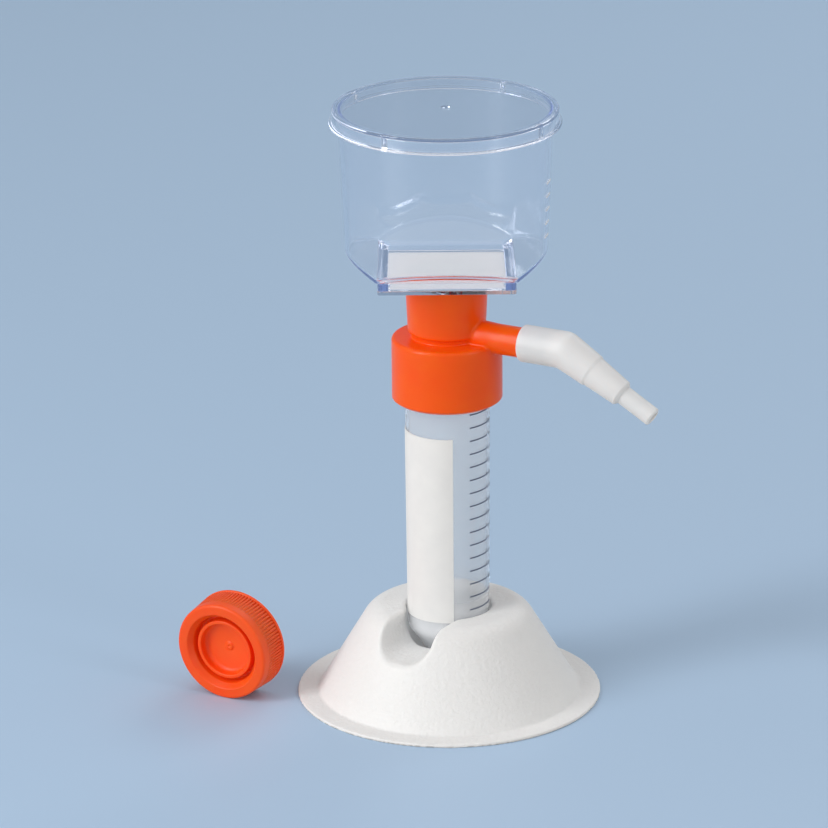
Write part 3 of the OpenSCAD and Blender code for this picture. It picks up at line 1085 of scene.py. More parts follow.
@dataclass
class Stand:
    """The white moulded sheet: flange, cone, socket for the tube and finger notch."""

    wall: float = 1.2
    cone_r: float = 44.8
    slope: float = 30.8
    shoulder: float = 8.0
    socket_r: float = 14.44
    rim_round: float = 1.4
    hollow_round: float = 3.4
    notch_azimuth: float = -32.5
    notch_half: float = 9.7
    notch_floor: float = 20.5
    notch_corner: float = 7.5
    cusp_round: float = 2.0
    seat_round: float = 0.4
    floor_round: float = 1.8
    root_fillet: float = 0.45
    edge_round: float = 0.3
    foot_round: float = 0.15
    step: float = 0.66
    top: float = field(init=False)
    flange_r: float = field(init=False)
    floor: float = field(init=False)

    def __post_init__(self) -> None:
        """Takes the stand's size and its floor's height from the frame."""
        high = node_box("stand")[1]
        self.top, self.flange_r = high.z, high.x
        self.floor = node_box("tube")[0].z

    def _cone(self, r: Array, z: Array) -> Array:
        """The cone under its rounded shoulder.

        Args:
            r: the points' distances from the axis.
            z: their heights.

        Returns:
            The distances to the cone.
        """
        turn = math.radians(self.slope)
        cos, sin = math.cos(turn), math.sin(turn)
        centre_z = self.top - self.shoulder
        rise = centre_z - self.wall
        centre_r = self.cone_r - math.tan(turn) * rise - self.shoulder / cos
        side = (r - self.cone_r) * cos + (z - self.wall) * sin
        past_r, past_z = r - centre_r, z - centre_z
        on_shoulder = (past_r >= 0) & (past_z * cos >= past_r * sin)
        shoulder = np.hypot(past_r, past_z) - self.shoulder
        return np.where(on_shoulder, shoulder, np.maximum(side, z - self.top))

    def body(self, p: Array) -> Array:
        """The whole sheet, whose inside follows its outside.

        Args:
            p: the points.

        Returns:
            The distances to the sheet.
        """
        x, y, z = p[..., 0], p[..., 1], p[..., 2]
        r = np.hypot(x, y)
        ahead = facing(self.notch_azimuth)
        along, across = x * ahead[0] + y * ahead[1], x * ahead[1] - y * ahead[0]
        well = meet(r - self.socket_r, self.floor - z, self.floor_round)
        slot = np.maximum(np.abs(across) - self.notch_half, -along)
        plan = join(r - self.socket_r, slot, self.cusp_round)
        notch = meet(plan, self.notch_floor - z, self.notch_corner)
        hollow = join(well, notch, self.seat_round)
        cone = self._cone(r, z)
        filled = meet(cone, -hollow, self.rim_round)
        flange = meet(r - self.flange_r, z - self.wall, self.edge_round)
        outside = join(filled, flange, self.root_fillet)
        core = meet(cone, -hollow, self.hollow_round)
        sheet = np.maximum(outside, -(core + self.wall))
        return meet(sheet, -z, self.foot_round)

    def build(self) -> None:
        """Makes and dresses the stand."""
        low, high = node_box("stand")
        made = field_mesh("stand_shell", self.body, low, high, self.step)
        finished(made, STAND_WHITE, Body.FOOT, "stand")


# ---------------------------------------------------------------- tube and its print


@dataclass(frozen=True)
class Wall:
    """A round wall that widens evenly from one height to another."""

    low_r: float
    high_r: float
    low: float
    high: float

    def r(self, z: float) -> float:
        """The wall's radius at a height."""
        share = max(0.0, (z - self.low) / (self.high - self.low))
        return self.low_r + (self.high_r - self.low_r) * share


def printed(name: str, wall: Wall, azimuths: Span, heights: Span) -> Piece:
    """A skin of ink that lies on a round wall.

    Args:
        name: the piece's name.
        wall: the wall that it follows.
        azimuths: where it starts and ends round the wall.
        heights: its lower and upper edge.

    Returns:
        The closed skin.
    """
    gap, thick, facet_deg, fewest = 0.02, 0.1, 1.5, 8
    steps = max(fewest, round(abs(azimuths[1] - azimuths[0]) / facet_deg))
    corners = [(gap, 0), (gap + thick, 0), (gap + thick, 1), (gap, 1)]
    rings = []
    for turn in np.linspace(azimuths[0], azimuths[1], steps + 1):
        out = facing(turn)
        rings.append(
            [out * (wall.r(heights[k]) + off) + (0, 0, heights[k]) for off, k in corners]
        )
    made = capped(name, np.array(rings))
    made.data.set_sharp_from_angle(angle=math.radians(SHARP_DEG))
    return made


@dataclass
class Tube:
    """The clear conical sample tube with its screw ridge, writing patch and marks."""

    wall: float = 1.15
    foot_r: float = 13.9
    foot_round: float = 4.0
    cone_h: float = 15.0
    tip_r: float = 3.0
    tip_round: float = 1.0
    inner_tip_round: float = 0.8
    lip_round: float = 0.45
    clear: float = 0.02
    ridge: float = 1.1
    ridge_drop: float = 13.0
    ridge_turns: float = 2.0
    patch_azimuths: Span = (-103.3, 6.7)
    mark_azimuths: Span = (31.0, 81.0)
    mark_n: int = 16
    mark_w: float = 0.45
    low: float = field(init=False)
    lip: float = field(init=False)
    mouth_r: float = field(init=False)
    side: Wall = field(init=False)

    def __post_init__(self) -> None:
        """Takes the tube's place from the frame."""
        low, high = node_box("tube")
        self.low, self.lip, self.mouth_r = low.z, high.z, high.x
        self.side = Wall(self.foot_r, self.mouth_r, self.low + self.cone_h, self.lip)

    def _profile(self) -> Array:
        """The wall's section: up the outside, over the lip and down the inside.

        Returns:
            Its points as rows of distance and height.
        """
        foot, wall = self.low + self.cone_h, self.wall
        inner_tip, inner_foot = self.tip_r - 0.5 * wall, foot + 0.3 * wall
        corners = [
            Corner(0, self.low + self.clear),
            Corner(self.tip_r, self.low + self.clear, self.tip_round),
            Corner(self.foot_r, foot, self.foot_round),
            Corner(self.mouth_r, self.lip, self.lip_round),
            Corner(self.mouth_r - wall, self.lip, self.lip_round),
            Corner(self.foot_r - wall, inner_foot, self.foot_round),
            Corner(inner_tip, self.low + wall, self.inner_tip_round),
            Corner(0, self.low + wall),
        ]
        return rounded(corners, closed=False)

    def _build_print(self) -> None:
        """Makes and dresses the writing patch and the volume marks."""
        low, high = node_box("tube_patch")
        patch = printed("writing_patch", self.side, self.patch_azimuths, (low.z, high.z))
        finished(patch, INK_WHITE, Body.FOOT, "tube_patch")
        low, high = node_box("tube_graduations")
        steps = self.mark_n - 1
        first_top = low.z + self.mark_w
        mark = printed("volume_marks", self.side, self.mark_azimuths, (low.z, first_top))
        growth = self.side.r(high.z) / self.side.r(first_top) - 1
        pitch = (high.z - low.z - self.mark_w) / steps
        repeated(mark, INK_BLUE, self.mark_n, rise=pitch, growth=growth / steps)
        finished(mark, INK_BLUE, Body.FOOT, "tube_graduations")

    def build(self) -> None:
        """Makes and dresses the tube and its print."""
        body = turned("tube_body", self._profile(), closed=False)
        start = self.lip - self.ridge_drop
        thread = Thread(self.mouth_r - OVERLAP, self.ridge, start, self.ridge_turns)
        made = joined("tube_body", [body, thread.build("tube_ridge", TUBE_CLEAR)])
        finished(made, TUBE_CLEAR, Body.FOOT, "tube")
        self._build_print()


# ---------------------------------------------------------------- neck and seal


@dataclass
class Neck:
    """The orange moulding: threaded collar, groove, neck and side arm."""

    collar_wall: float = 2.65
    roof: float = 2.5
    top_round: float = 1.3
    chamfer: float = 1.3
    chamfer_slope: float = 0.8
    groove_h: float = 1.8
    groove_r: float = 11.9
    groove_sink: float = 1.0
    root_fillet: float = 0.4
    low_r: float = 13.1
    top_r: float = 14.0
    foot_round: float = 0.9
    chamber_r: float = 12.0
    floor: float = 2.5
    throat_r: float = 10.0
    arm_rise: float = 1.86
    arm_r: float = 5.1
    arm_bore_r: float = 2.6
    arm_reach: float = 40.4
    flare: float = 0.3
    flare_end: float = 20.1
    blend: float = 0.9
    edge_round: float = 0.35
    ridge: float = 0.95
    ridge_rise: float = 3.2
    ridge_turns: float = 3.0
    step: float = 0.45
    collar_low: float = field(init=False)
    collar_top: float = field(init=False)
    collar_r: float = field(init=False)
    bore_r: float = field(init=False)
    arm_z: float = field(init=False)
    seat: float = field(init=False)
    top: float = field(init=False)

    def __post_init__(self) -> None:
        """Takes the moulding's place from the frame."""
        low, high = node_box("neck")
        self.collar_low, self.top, self.collar_r = low.z, high.z, -low.x
        self.seat = node_box("neck_seal")[1].z
        self.collar_top = self.seat + self.roof
        self.arm_z = self.collar_top + self.arm_rise
        self.bore_r = self.collar_r - self.collar_wall

    def _collar(self, r: Array, z: Array) -> Array:
        """The collar, with its rounded top and its chamfered lower edge.

        Args:
            r: the points' distances from the axis.
            z: their heights.

        Returns:
            The distances to the collar.
        """
        collar = meet(r - self.collar_r, z - self.collar_top, self.top_round)
        slant = self.chamfer_slope * (r - self.collar_r + self.chamfer) - (z - self.collar_low)
        collar = np.maximum(collar, slant / math.hypot(self.chamfer_slope, 1))
        return meet(collar, self.collar_low - z, self.edge_round)

    def _around_arm(self, p: Array) -> tuple[Array, Array]:
        """Where points lie by the side arm.

        Args:
            p: the points.

        Returns:
            Their distances along the arm and from its axis.
        """
        out = facing(ARM_AZIMUTH)
        along = p[..., 0] * out[0] + p[..., 1] * out[1]
        across = p[..., 0] * out[1] - p[..., 1] * out[0]
        return along, np.hypot(across, p[..., 2] - self.arm_z)

    def body(self, p: Array) -> Array:
        """The whole moulding.

        Args:
            p: the points.

        Returns:
            The distances to the moulding.
        """
        r, z = np.hypot(p[..., 0], p[..., 1]), p[..., 2]
        foot = self.collar_top + self.groove_h
        groove_half = self.groove_h + self.groove_sink
        groove = np.maximum(r - self.groove_r, np.abs(z - foot) - groove_half)
        rise = (z - foot) / (self.top - foot)
        side = r - self.low_r - (self.top_r - self.low_r) * rise
        neck = meet(side, foot - z, self.foot_round)
        neck = meet(neck, z - self.top, self.edge_round)
        along, away = self._around_arm(p)
        share = np.clip((self.flare_end - along) / (self.flare_end - self.low_r), 0, 1)
        flared = self.arm_r + self.flare * share**2 * (3 - 2 * share)
        arm = meet(away - flared, along - self.arm_reach, self.edge_round)
        arm = np.maximum(arm, -along)
        stem = join(self._collar(r, z), np.minimum(groove, neck), self.root_fillet)
        outside = join(stem, arm, self.blend)
        bore = np.maximum(r - self.bore_r, z - self.seat)
        throat = r - self.throat_r
        chamber = np.maximum(r - self.chamber_r, foot + self.floor - z)
        inner_arm = np.maximum(away - self.arm_bore_r, -along)
        hollow = np.minimum(np.minimum(bore, throat), np.minimum(chamber, inner_arm))
        return meet(outside, -hollow, self.edge_round)

    def build(self) -> None:
        """Makes and dresses the moulding with its screw ridge."""
        low, high = node_box("neck")
        body = field_mesh("neck_body", self.body, low, high, self.step)
        start = self.collar_low + self.ridge_rise
        thread = Thread(self.bore_r + OVERLAP, -self.ridge, start, self.ridge_turns)
        made = joined("neck_body", [body, thread.build("collar_ridge", ORANGE)])
        finished(made, ORANGE, Body.HEAD, "neck")


@dataclass
class Seal:
    """The ring seal that lies on the tube's lip."""

    inner_r: float = 12.35
    edge_round: float = 0.3
    clear: float = 0.02

    def build(self) -> None:
        """Makes and dresses the seal."""
        low, high = node_box("neck_seal")
        bottom, top = low.z + self.clear, high.z - self.clear
        places = [(self.inner_r, bottom), (high.x, bottom), (high.x, top), (self.inner_r, top)]
        corners = [Corner(r, z, self.edge_round) for r, z in places]
        made = turned("ring_seal", rounded(corners, closed=True, steps=3), closed=True)
        finished(made, SEAL_RUBBER, Body.SEAL, "neck_seal")


# ---------------------------------------------------------------- hose connector


@dataclass
class Connector:
    """The milky bent connector on the side arm, stepped down to its nozzle."""

    face: float = 29.15
    face_round: float = 0.8
    outer_r: float = 6.3
    socket_r: float = 5.15
    socket_round: float = 0.2
    socket_end: float = 40.7
    mouth_round: float = 0.25
    corner: float = 44.649
    bend: float = 29.4
    bend_round: float = 6.0
    ease: float = 1.7
    straighten: float = 6.0
    passage_r: float = 3.0
    nozzle_bore_r: float = 1.9
    step_round: float = 0.4
    step_1: float = 12.1
    step_1_r: float = 5.75
    step_1_lead: float = 0.7
    step_1_lag: float = 0.2
    step_2: float = 25.2
    step_2_r: float = 5.35
    step_2_end_r: float = 4.5
    step_2_lead: float = 1.2
    step_2_round: float = 0.45
    nozzle_r: float = 3.25
    nozzle_round: float = 0.5
    tip: float = 37.6
    tip_chamfer: float = 0.5
    tip_round: float = 0.3
    tip_bore_round: float = 0.15
    longest: float = 0.5
    facets: int = 120
    axis_z: float = field(init=False)

    def __post_init__(self) -> None:
        """Takes the height of the side arm's axis."""
        self.axis_z = Neck().arm_z

    def _rings(self, profile: Array, turns: Array) -> Array:
        """Bends a section that is turned about a straight line.

        Args:
            profile: rows of distance from the line and place along it, from the corner.
            turns: directions round the line, in radians from above.

        Returns:
            The rings' points, as on two rods mitred at the corner, with its edge eased.
        """
        whole = math.radians(self.bend)
        out, up = facing(ARM_AZIMUTH), np.array([0.0, 0.0, 1.0])
        ahead = math.cos(whole) * out - math.sin(whole) * up
        above = math.sin(whole) * out + math.cos(whole) * up
        corner = self.corner * out + self.axis_z * up
        r, t = profile[:, :1, None], profile[:, 1:, None]
        spoke, side = r * np.cos(turns)[:, None], r * np.sin(turns)[:, None] * np.cross(out, up)
        slant = spoke * math.tan(whole / 2)
        past = np.clip((np.abs(t) - self.ease) / self.straighten, 0, 1)
        slant = slant * (1 - past**2 * (3 - 2 * past))

        def before(place: Union[float, Array]) -> Array:
            """Points on the rod before the corner."""
            return corner + (place + slant) * out + spoke * up + side

        def after(place: Union[float, Array]) -> Array:
            """Points on the rod after the corner."""
            return corner + (place - slant) * ahead + spoke * above + side

        f = np.clip((t + self.ease) / (2 * self.ease), 0, 1)
        eased = (1 - f) ** 2 * before(-self.ease) + f**2 * after(self.ease)
        eased = eased + 2 * f * (1 - f) * before(0.0)
        outer = np.where(t < 0, before(t), after(t))
        return np.where(np.abs(t) < self.ease, eased, outer)

    def _profile(self) -> Array:
        """The wall's section, with its places along the line counted from the corner.

        Returns:
            Its points as rows of distance from the line and place along it.
        """
        face, floor = self.face - self.corner, self.socket_end - self.corner
        corners = [
            Corner(self.outer_r, face, self.face_round),
            Corner(self.outer_r, self.ease, self.bend_round),
            Corner(self.step_1_r, self.step_1 - self.step_1_lead, self.step_round),
            Corner(self.step_2_r, self.step_1 + self.step_1_lag, self.step_round),
            Corner(self.step_2_end_r, self.step_2 - self.step_2_lead, self.step_2_round),
            Corner(self.nozzle_r, self.step_2, self.nozzle_round),
            Corner(self.nozzle_r, self.tip - self.tip_chamfer, self.step_round),
            Corner(self.nozzle_r - self.tip_chamfer, self.tip, self.tip_round),
            Corner(self.nozzle_bore_r, self.tip, self.tip_bore_round),
            Corner(self.nozzle_bore_r, self.step_2),
            Corner(self.passage_r, self.ease),
            Corner(self.passage_r, floor, self.socket_round),
            Corner(self.socket_r, floor, self.socket_round),
            Corner(self.socket_r, face, self.mouth_round),
        ]
        return refined(rounded(corners, closed=True), self.longest, closed=True)

    def build(self) -> None:
        """Makes and dresses the connector."""
        turns = np.linspace(0, 2 * math.pi, self.facets, endpoint=False)
        rings = self._rings(self._profile(), turns)
        made = loft("connector_body", rings, closed=True)
        finished(made, MILKY, Body.HOSE, "hose_connector")


# ---------------------------------------------------------------- plate and membrane


def square_r(turn: Array, half: float, corner: float) -> Array:
    """Distance from the centre to a square's rounded outline.

    Args:
        turn: directions in radians from +X.
        half: half the square's width.
        corner: the rounding of its corners.

    Returns:
        The distances.
    """
    long = np.maximum(np.abs(np.cos(turn)), np.abs(np.sin(turn)))
    both = np.abs(np.cos(turn)) + np.abs(np.sin(turn))
    inner = half - corner
    root = np.maximum((inner * both) ** 2 - 2 * inner**2 + corner**2, 0)
    on_corner = (both - long) / long > inner / half
    return np.where(on_corner, inner * both + np.sqrt(root), half / long)


def square_turns() -> Array:
    """Directions that are close together at a square's corners.

    Returns:
        The directions in radians from +X, once round.
    """
    near, by_side, at_corner = 2.2, 24, 14
    spans = [(0, 45 - near, by_side), (45 - near, 45 + near, at_corner), (45 + near, 90, by_side)]
    quarter = [np.linspace(low, high, n, endpoint=False) for low, high, n in spans]
    return np.radians(np.concatenate([span + 90 * side for side in range(4) for span in quarter]))


@dataclass
class Plate:
    """The clear support plate with its drip spout."""

    edge_round: float = 0.16

    def build(self) -> None:
        """Makes and dresses the plate."""
        made = softened("support_plate", "support_plate_body", self.edge_round)
        finished(made, PLATE_CLEAR, Body.HEAD, "support_plate")


@dataclass
class Membrane:
    """The square filter membrane on the plate's seat."""

    corner: float = 1.0
    edge_round: float = 0.08
    lift: float = 0.02
    shares: tuple[float, ...] = (0.0, 0.5, 0.9)

    def build(self) -> None:
        """Makes and dresses the membrane."""
        low, high = node_box("membrane")
        flat = [*self.shares, 1.0 - self.edge_round / high.x]
        under, over = low.z + self.lift, high.z
        spans = [(share, under) for share in flat]
        spans += [(1.0, under + self.edge_round), (1.0, over - self.edge_round)]
        spans += [(share, over) for share in reversed(flat)]
        turns = square_turns()
        outline = square_r(turns, high.x, self.corner)
        rings = []
        for share, z in spans:
            r = np.maximum(share, TINY) * outline
            rings.append(np.stack([r * np.cos(turns), r * np.sin(turns), np.full_like(r, z)], -1))
        made = loft("membrane_sheet", np.array(rings), closed=False)
        finished(made, FILTER_WHITE, Body.HEAD, "membrane")


# ---------------------------------------------------------------- funnel and lid


@dataclass
class Funnel:
    """The clear funnel: round wall, four sloping floor panels and a square foot."""

    half: float = 23.0
    corner: float = 1.0
    well_half: float = 19.5
    foot_h: float = 2.7
    foot_round: float = 0.3
    wall: float = 1.3
    low_r: float = 33.8
    slope: float = 24.2
    crease: float = 0.012
    fold_round: float = 0.6
    outer_round: float = 1.6
    inner_round: float = 1.2
    rim_round: float = 0.45
    well_round: float = 0.4
    mouth_round: float = 0.2
    clear: float = 0.03
    longest: float = 4.0
    scale_n: int = 5
    scale_pitch: float = 4.7
    scale_azimuths: Span = (72.0, 81.0)
    mark_w: float = 0.45
    foot: float = field(init=False)
    rim: float = field(init=False)
    rim_r: float = field(init=False)
    side: Wall = field(init=False)

    def __post_init__(self) -> None:
        """Takes the funnel's place from the frame."""
        low, high = node_box("funnel")
        self.foot, self.rim, self.rim_r = low.z, high.z, high.x
        self.side = Wall(self.low_r, self.rim_r, self.foot + self.foot_h, self.rim)

    def _meridian(self, turn: float) -> Array:
        """The wall's closed section in one direction.

        Args:
            turn: the direction in radians from +X.

        Returns:
            Its points as rows of distance and height.
        """
        base = self.foot + self.foot_h
        tilt = math.tan(math.radians(self.slope))
        lift = self.wall / math.cos(math.radians(self.slope))
        widen = (self.rim_r - self.low_r) / (self.rim - base)
        cos, sin = abs(math.cos(turn)), abs(math.sin(turn))
        most = 0.5 * (cos + sin + math.hypot(cos - sin, self.crease))
        away = np.array([turn])
        outer = float(square_r(away, self.half, self.corner)[0])
        well = float(square_r(away, self.well_half, self.corner)[0])

        def panel(r: float) -> float:
            """Height of the panel's underside."""
            return base + (r * most - self.half) * tilt

        fall = 1 - widen * tilt * most
        meet_r = (self.low_r - widen * tilt * self.half) / fall
        inner_r = (self.low_r - self.wall + widen * (lift - self.half * tilt)) / fall
        low = self.foot + self.clear
        corners = [
            Corner(outer, low, self.foot_round),
            Corner(outer, panel(outer), self.fold_round),
            Corner(meet_r, panel(meet_r), self.outer_round),
            Corner(self.rim_r, self.rim, self.rim_round),
            Corner(self.rim_r - self.wall, self.rim, self.rim_round),
            Corner(inner_r, panel(inner_r) + lift, self.inner_round),
            Corner(well, panel(well) + lift, self.well_round),
            Corner(well, low, self.mouth_round),
        ]
        return rounded(corners, closed=True)

    def _build_scale(self) -> None:
        """Makes and dresses the scale printed on the wall."""
        low = node_box("funnel_graduations")[0].z
        mark = printed("funnel_scale", self.side, self.scale_azimuths, (low, low + self.mark_w))
        growth = self.side.r(low + self.scale_pitch) / self.side.r(low) - 1
        repeated(mark, INK_WHITE, self.scale_n, rise=self.scale_pitch, growth=growth)
        finished(mark, INK_WHITE, Body.HEAD, "funnel_graduations")

    def build(self) -> None:
        """Makes and dresses the funnel and its scale."""
        turns = square_turns()
        sections = np.array([self._meridian(float(turn)) for turn in turns])
        x = sections[..., 0] * np.cos(turns)[:, None]
        y = sections[..., 0] * np.sin(turns)[:, None]
        rings = np.stack([x, y, sections[..., 1]], -1).transpose(1, 0, 2)
        made = loft("funnel_body", refined(rings, self.longest, closed=True), closed=True)
        finished(made, FUNNEL_CLEAR, Body.HEAD, "funnel")
        self._build_scale()


@dataclass
class Lid:
    """The clear lid with its skirt, lower bead, centring ribs and gate mark."""

    thick: float = 1.3
    skirt_h: float = 5.4
    inner_r: float = 36.45
    outer_r: float = 37.75
    bead_h: float = 0.9
    top_round: float = 0.6
    bead_round: float = 0.3
    skirt_round: float = 0.25
    roof_round: float = 0.4
    gate_r: float = 1.5
    gate_depth: float = 0.35
    gate_slant: float = 0.3
    gate_round: float = 0.2
    gate_rim_round: float = 0.3
    nub_r: float = 0.45
    nub_foot_r: float = 0.6
    nub_drop: float = 0.1
    nub_round: float = 0.12
    nub_foot_round: float = 0.15
    rib_n: int = 4
    rib_w: float = 2.2
    rib_reach: float = 36.05
    rib_azimuth: float = 57.0
    rib_lead: float = 0.5
    rib_facets: int = 24
    rib_power: float = 0.6
    clear: float = 0.03
    longest: float = 6.0

    def build(self) -> None:
        """Makes and dresses the lid."""
        high = node_box("lid")[1]
        top, bead_r = high.z, high.x
        low, under = top - self.skirt_h, top - self.thick + self.clear
        nub_top, gate = top - self.nub_drop, top - self.gate_depth
        bead_top = low + self.bead_h
        corners = [
            Corner(0, nub_top),
            Corner(self.nub_r, nub_top, self.nub_round),
            Corner(self.nub_foot_r, gate, self.nub_foot_round),
            Corner(self.gate_r - self.gate_slant, gate, self.gate_round),
            Corner(self.gate_r, top, self.gate_rim_round),
            Corner(self.outer_r, top, self.top_round),
            Corner(self.outer_r, bead_top, self.bead_round),
            Corner(bead_r, bead_top, self.bead_round),
            Corner(bead_r, low, self.bead_round),
            Corner(self.inner_r, low, self.skirt_round),
            Corner(self.inner_r, under, self.roof_round),
            Corner(0, under),
        ]
        profile = refined(rounded(corners, closed=False), self.longest, closed=False)
        body = turned("lid_body", profile, closed=False)
        made = joined("lid_body", [body, self._ribs(low, under)])
        finished(made, FUNNEL_CLEAR, Body.HEAD, "lid")

    def _ribs(self, low: float, high: float) -> Piece:
        """The centring ribs inside the skirt, each a bar with a rounded face.

        Args:
            low: the height of their lower ends.
            high: the height of their upper ends.

        Returns:
            The ribs as one piece.
        """
        turns = np.linspace(0, 2 * math.pi, self.rib_facets, endpoint=False)
        cos, sin = np.cos(turns), np.sin(turns)
        wide = 0.5 * self.rib_w * np.sign(cos) * np.abs(cos) ** self.rib_power
        deep = np.sign(sin) * np.abs(sin) ** self.rib_power
        back = self.inner_r + OVERLAP
        out = facing(self.rib_azimuth)
        side = np.array([-out[1], out[0], 0.0])
        slim = 0.75
        spans = [(0.0, low), (slim, low + 0.1 * self.rib_lead), (1.0, low + self.rib_lead)]
        spans += [(1.0, high), (slim, high), (0.0, high)]
        rings = []
        for share, z in spans:
            inward = np.maximum((back - self.rib_reach) * share * deep, 0.0)
            place = (back - inward)[:, None] * out
            rings.append(place + (wide * share)[:, None] * side + np.array([0, 0, z]))
        rib = loft("lid_ribs", np.array(rings), closed=False)
        return repeated(rib, FUNNEL_CLEAR, self.rib_n, turn=360 / self.rib_n)


# ---------------------------------------------------------------- screw cap


@dataclass
class Cap:
    """The tube's own screw cap, which lies on its side."""

    height: float = 12.4
    low_r: float = 18.0
    top_r: float = 17.25
    top_round: float = 0.9
    low_round: float = 0.3
    wall: float = 1.1
    bore_r: float = 16.0
    bore_round: float = 0.5
    plug_r: float = 13.1
    plug_root_r: float = 13.35
    plug_round: float = 0.4
    recess_r: float = 13.7
    recess_depth: float = 5.2
    recess_round: float = 0.5
    recess_fold: float = 0.8
    recess_foot: float = 0.7
    ring_r: float = 10.65
    ring_t: float = 1.3
    ring_depth: float = 2.1
    ring_round: float = 0.35
    under_round: float = 1.0
    dish: float = 0.6
    dish_rise: float = 0.15
    dish_round: float = 2.6
    nub_r: float = 1.2
    nub_foot_r: float = 1.7
    nub_h: float = 0.5
    nub_foot_round: float = 0.6
    nub_round: float = 0.25
    pip_r: float = 0.55
    pip_depth: float = 0.4
    pip_round: float = 0.15
    knurl_n: int = 96
    knurl_low: float = 1.0
    knurl_h: float = 7.8
    knurl_depth: float = 0.15
    knurl_ease: Span = (0.25, 0.2)
    knurl_round: Span = (0.15, 0.1)
    knurl_sink: float = 0.1
    knurl_fill: float = 0.96
    ridge: float = 0.95
    ridge_rise: float = 2.4
    ridge_turns: float = 1.6
    azimuth: float = -30.0
    foot: Span = (-71.7, 3.8)

    def _cone(self, z: float) -> float:
        """Radius of the cap's tapered outside."""
        share = z / (self.height - self.top_round)
        return self.low_r + (self.top_r - self.low_r) * share

    def _profile(self) -> Array:
        """The wall's section from the middle inside to the middle of the dished top.

        Returns:
            Its points as rows of distance and height.
        """
        wall, high = self.wall, self.height
        roof = high - wall
        floor, ring_top = high - self.recess_depth, high - self.ring_depth
        inner_ring = self.ring_r - self.ring_t
        dish = floor - self.dish
        nub_top = dish + self.nub_h
        low, top = self.knurl_low, self.knurl_low + self.knurl_h
        low_ease, top_ease = low + self.knurl_ease[0], top + self.knurl_ease[1]
        low_round, top_round = self.knurl_round
        valley = self._cone(top) - self.knurl_depth
        corners = [
            Corner(0, dish - wall),
            Corner(inner_ring, floor - wall, self.under_round),
            Corner(self.plug_r, floor - wall, self.plug_round),
            Corner(self.plug_root_r, roof, self.plug_round),
            Corner(self.bore_r, roof, self.bore_round),
            Corner(self.bore_r, 0, self.low_round),
            Corner(self.low_r, 0, self.low_round),
            Corner(self._cone(low), low, low_round),
            Corner(valley, low_ease, low_round),
            Corner(valley, top, top_round),
            Corner(self._cone(top_ease), top_ease, top_round),
            Corner(self.top_r, high, self.top_round),
            Corner(self.recess_r, high, self.recess_round),
            Corner(self.plug_root_r - wall, ring_top, self.recess_fold),
            Corner(self.plug_r - wall, floor, self.recess_foot),
            Corner(self.ring_r, floor, self.recess_round),
            Corner(self.ring_r, ring_top, self.ring_round),
            Corner(inner_ring, ring_top, self.ring_round),
            Corner(inner_ring, floor + self.dish_rise, self.dish_round),
            Corner(self.nub_foot_r, dish, self.nub_foot_round),
            Corner(self.nub_r, nub_top, self.nub_round),
            Corner(self.pip_r, nub_top, self.pip_round),
            Corner(0.0, nub_top - self.pip_depth),
        ]
        return rounded(corners, closed=False)

    def _grip(self) -> Piece:
        """The grip ribs: one rounded rib, repeated round the cap.

        Returns:
            The ribs as one piece.
        """
        width = 2 * math.pi / self.knurl_n * self.knurl_fill
        low, top = self.knurl_low, self.knurl_low + self.knurl_h
        root = self._cone(top) - self.knurl_depth - self.knurl_sink
        stations = [(low + 0.05, 0.0), (low + 0.2, 0.8), (low + 0.8, 1.0)]
        stations += [(0.5 * (low + top), 1.0), (top - 0.3, 1.0), (top + 0.15, 0.15)]
        across = [(-0.5, 0.0), (-0.3, 0.65), (0.0, 1.0), (0.3, 0.65), (0.5, 0.0)]
        rings = []
        for z, share in stations:
            crown = (self._cone(z) - root) * share
            ring = [(root + crown * rise, place * width) for place, rise in across]
            rings.append([(r * math.cos(turn), r * math.sin(turn), z) for r, turn in ring])
        rib = capped("grip_ribs", np.array(rings))
        return repeated(rib, CAP_ORANGE, self.knurl_n, turn=360 / self.knurl_n)

    def build(self) -> None:
        """Makes the cap upright, lays it down and dresses it."""
        body = turned("cap_body", self._profile(), closed=False)
        thread = Thread(self.bore_r + OVERLAP, -self.ridge, self.ridge_rise, self.ridge_turns)
        made = joined("cap_body", [body, self._grip(), thread.build("cap_ridge", CAP_ORANGE)])
        lean = math.atan((self.low_r - self.top_r) / (self.height - self.top_round))
        middle = Vector((*self.foot, self.low_r * math.cos(lean))) * MM
        turn = Matrix.Rotation(math.radians(self.azimuth), 4, "Z")
        lay = Matrix.Rotation(math.pi / 2 + lean, 4, "X")
        made.data.transform(Matrix.Translation(middle) @ turn @ lay)
        finished(made, CAP_ORANGE, Body.FOOT, "tube_cap")


# ---------------------------------------------------------------- studio


@dataclass(frozen=True)
class Lamp:
    """A soft rectangular lamp that looks at the object's middle. Its sizes are in metres."""

    name: str
    place: Place
    size: Span
    watts: float
    target: Place = (0.0, 0.0, 0.1)

    def build(self) -> None:
        """Makes the lamp."""
        light = bpy.data.lights.new(self.name, "AREA")
        light.shape = "RECTANGLE"
        light.size, light.size_y = self.size
        light.energy = self.watts
        made = placed(self.name, light)
        made.location = self.place
        ahead = Vector(self.target) - Vector(self.place)
        made.rotation_euler = ahead.to_track_quat("-Z", "Y").to_euler()


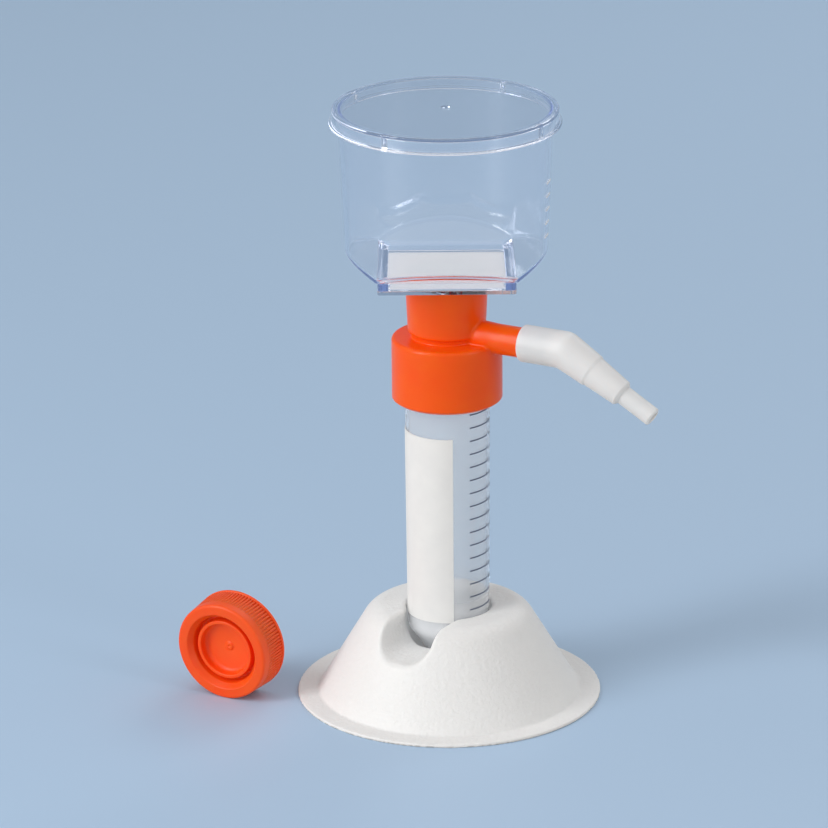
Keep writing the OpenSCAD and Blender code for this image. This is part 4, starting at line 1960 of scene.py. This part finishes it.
@dataclass
class Studio:
    """The pale floor that curves up to a backdrop, the lamps and the camera.

    Its sizes are in metres, apart from the camera's lens and sensor.
    """

    depth: float = 6.0
    reach: float = 2.2
    bend: float = 1.0
    height: float = 4.0
    bend_facets: int = 24
    world: float = 0.5
    shown: float = 0.95
    pitch: float = 19.52
    roll: float = -0.009
    aim: Place = (-0.011255, 0.0, 0.100681)
    distance: float = 1.84766
    lens: float = 238.19
    sensor: float = 36.0
    shift_y: float = -0.0012077
    lamps: tuple[Lamp, ...] = (
        Lamp("key_lamp", (-1.25, -0.7, 0.85), (0.5, 1.5), 16.5),
        Lamp("fill_lamp", (1.2, -0.9, 0.6), (0.3, 1.1), 3.2),
        Lamp("rim_lamp", (0.7, 1.2, 1.1), (0.9, 0.6), 4.0),
    )

    def _backdrop(self) -> None:
        """A sheet that lies behind and under the object, curved where it rises."""
        line = [(-self.depth, 0.0), (self.reach, 0.0)]
        for k in range(1, self.bend_facets + 1):
            turn = 0.5 * math.pi * k / self.bend_facets
            forth, up = math.sin(turn), 1 - math.cos(turn)
            line.append((self.reach + self.bend * forth, self.bend * up))
        line.append((self.reach + self.bend, self.height))
        points = [(x, y, z) for y, z in line for x in (-self.depth, self.depth)]
        faces = [(2 * i, 2 * i + 1, 2 * i + 3, 2 * i + 2) for i in range(len(line) - 1)]
        made = mesh_object("backdrop", np.array(points) / MM, faces)
        if made.data.polygons[0].normal.z < 0:
            made.data.flip_normals()
        made.data.materials.append(BACKDROP_CARD.material())

    def _world(self) -> None:
        """Even light from all round, which gloss and clear plastic show brighter."""
        world = bpy.data.worlds.new("studio")
        world.use_nodes = True
        graph = Graph(world.node_tree)
        brighter = graph.ray("Glossy", "Transmission") * (self.shown - self.world)
        sockets = {"Color": (*WHITE, 1.0), "Strength": brighter + self.world}
        sky = graph.add("ShaderNodeBackground", None, sockets)
        graph.add("ShaderNodeOutputWorld", None, {"Surface": sky})
        bpy.context.scene.world = world

    def _camera(self) -> None:
        """The camera, a long lens pitched down a little and rolled a hair."""
        data = bpy.data.cameras.new("camera")
        data.lens = self.lens
        data.sensor_width = self.sensor
        data.shift_y = self.shift_y
        pitch = math.radians(self.pitch)
        ahead = Vector((0.0, math.cos(pitch), -math.sin(pitch)))
        up = Vector((0.0, math.sin(pitch), math.cos(pitch)))
        right = Vector((1.0, 0.0, 0.0))
        cos, sin = math.cos(self.roll), math.sin(self.roll)
        side, top = cos * right + sin * up, cos * up - sin * right
        turn = Matrix((side, top, -ahead)).transposed().to_4x4()
        place = Vector(self.aim) - self.distance * ahead
        made = placed("camera", data)
        made.matrix_world = Matrix.Translation(place) @ turn
        bpy.context.scene.camera = made

    def build(self) -> None:
        """Makes the stage."""
        bpy.context.scene.view_settings.view_transform = "Standard"
        self._backdrop()
        self._world()
        self._camera()
        for lamp in self.lamps:
            lamp.build()


ASSEMBLIES = (Studio, Stand, Tube, Neck, Seal, Connector, Plate, Membrane, Funnel, Lid, Cap)


def main() -> None:
    """Builds the studio and every piece."""
    logging.basicConfig(level=logging.INFO, format="%(message)s")
    for assembly in ASSEMBLIES:
        assembly().build()
        logger.info("built %s", assembly.__name__)


if __name__ == "__main__":
    main()
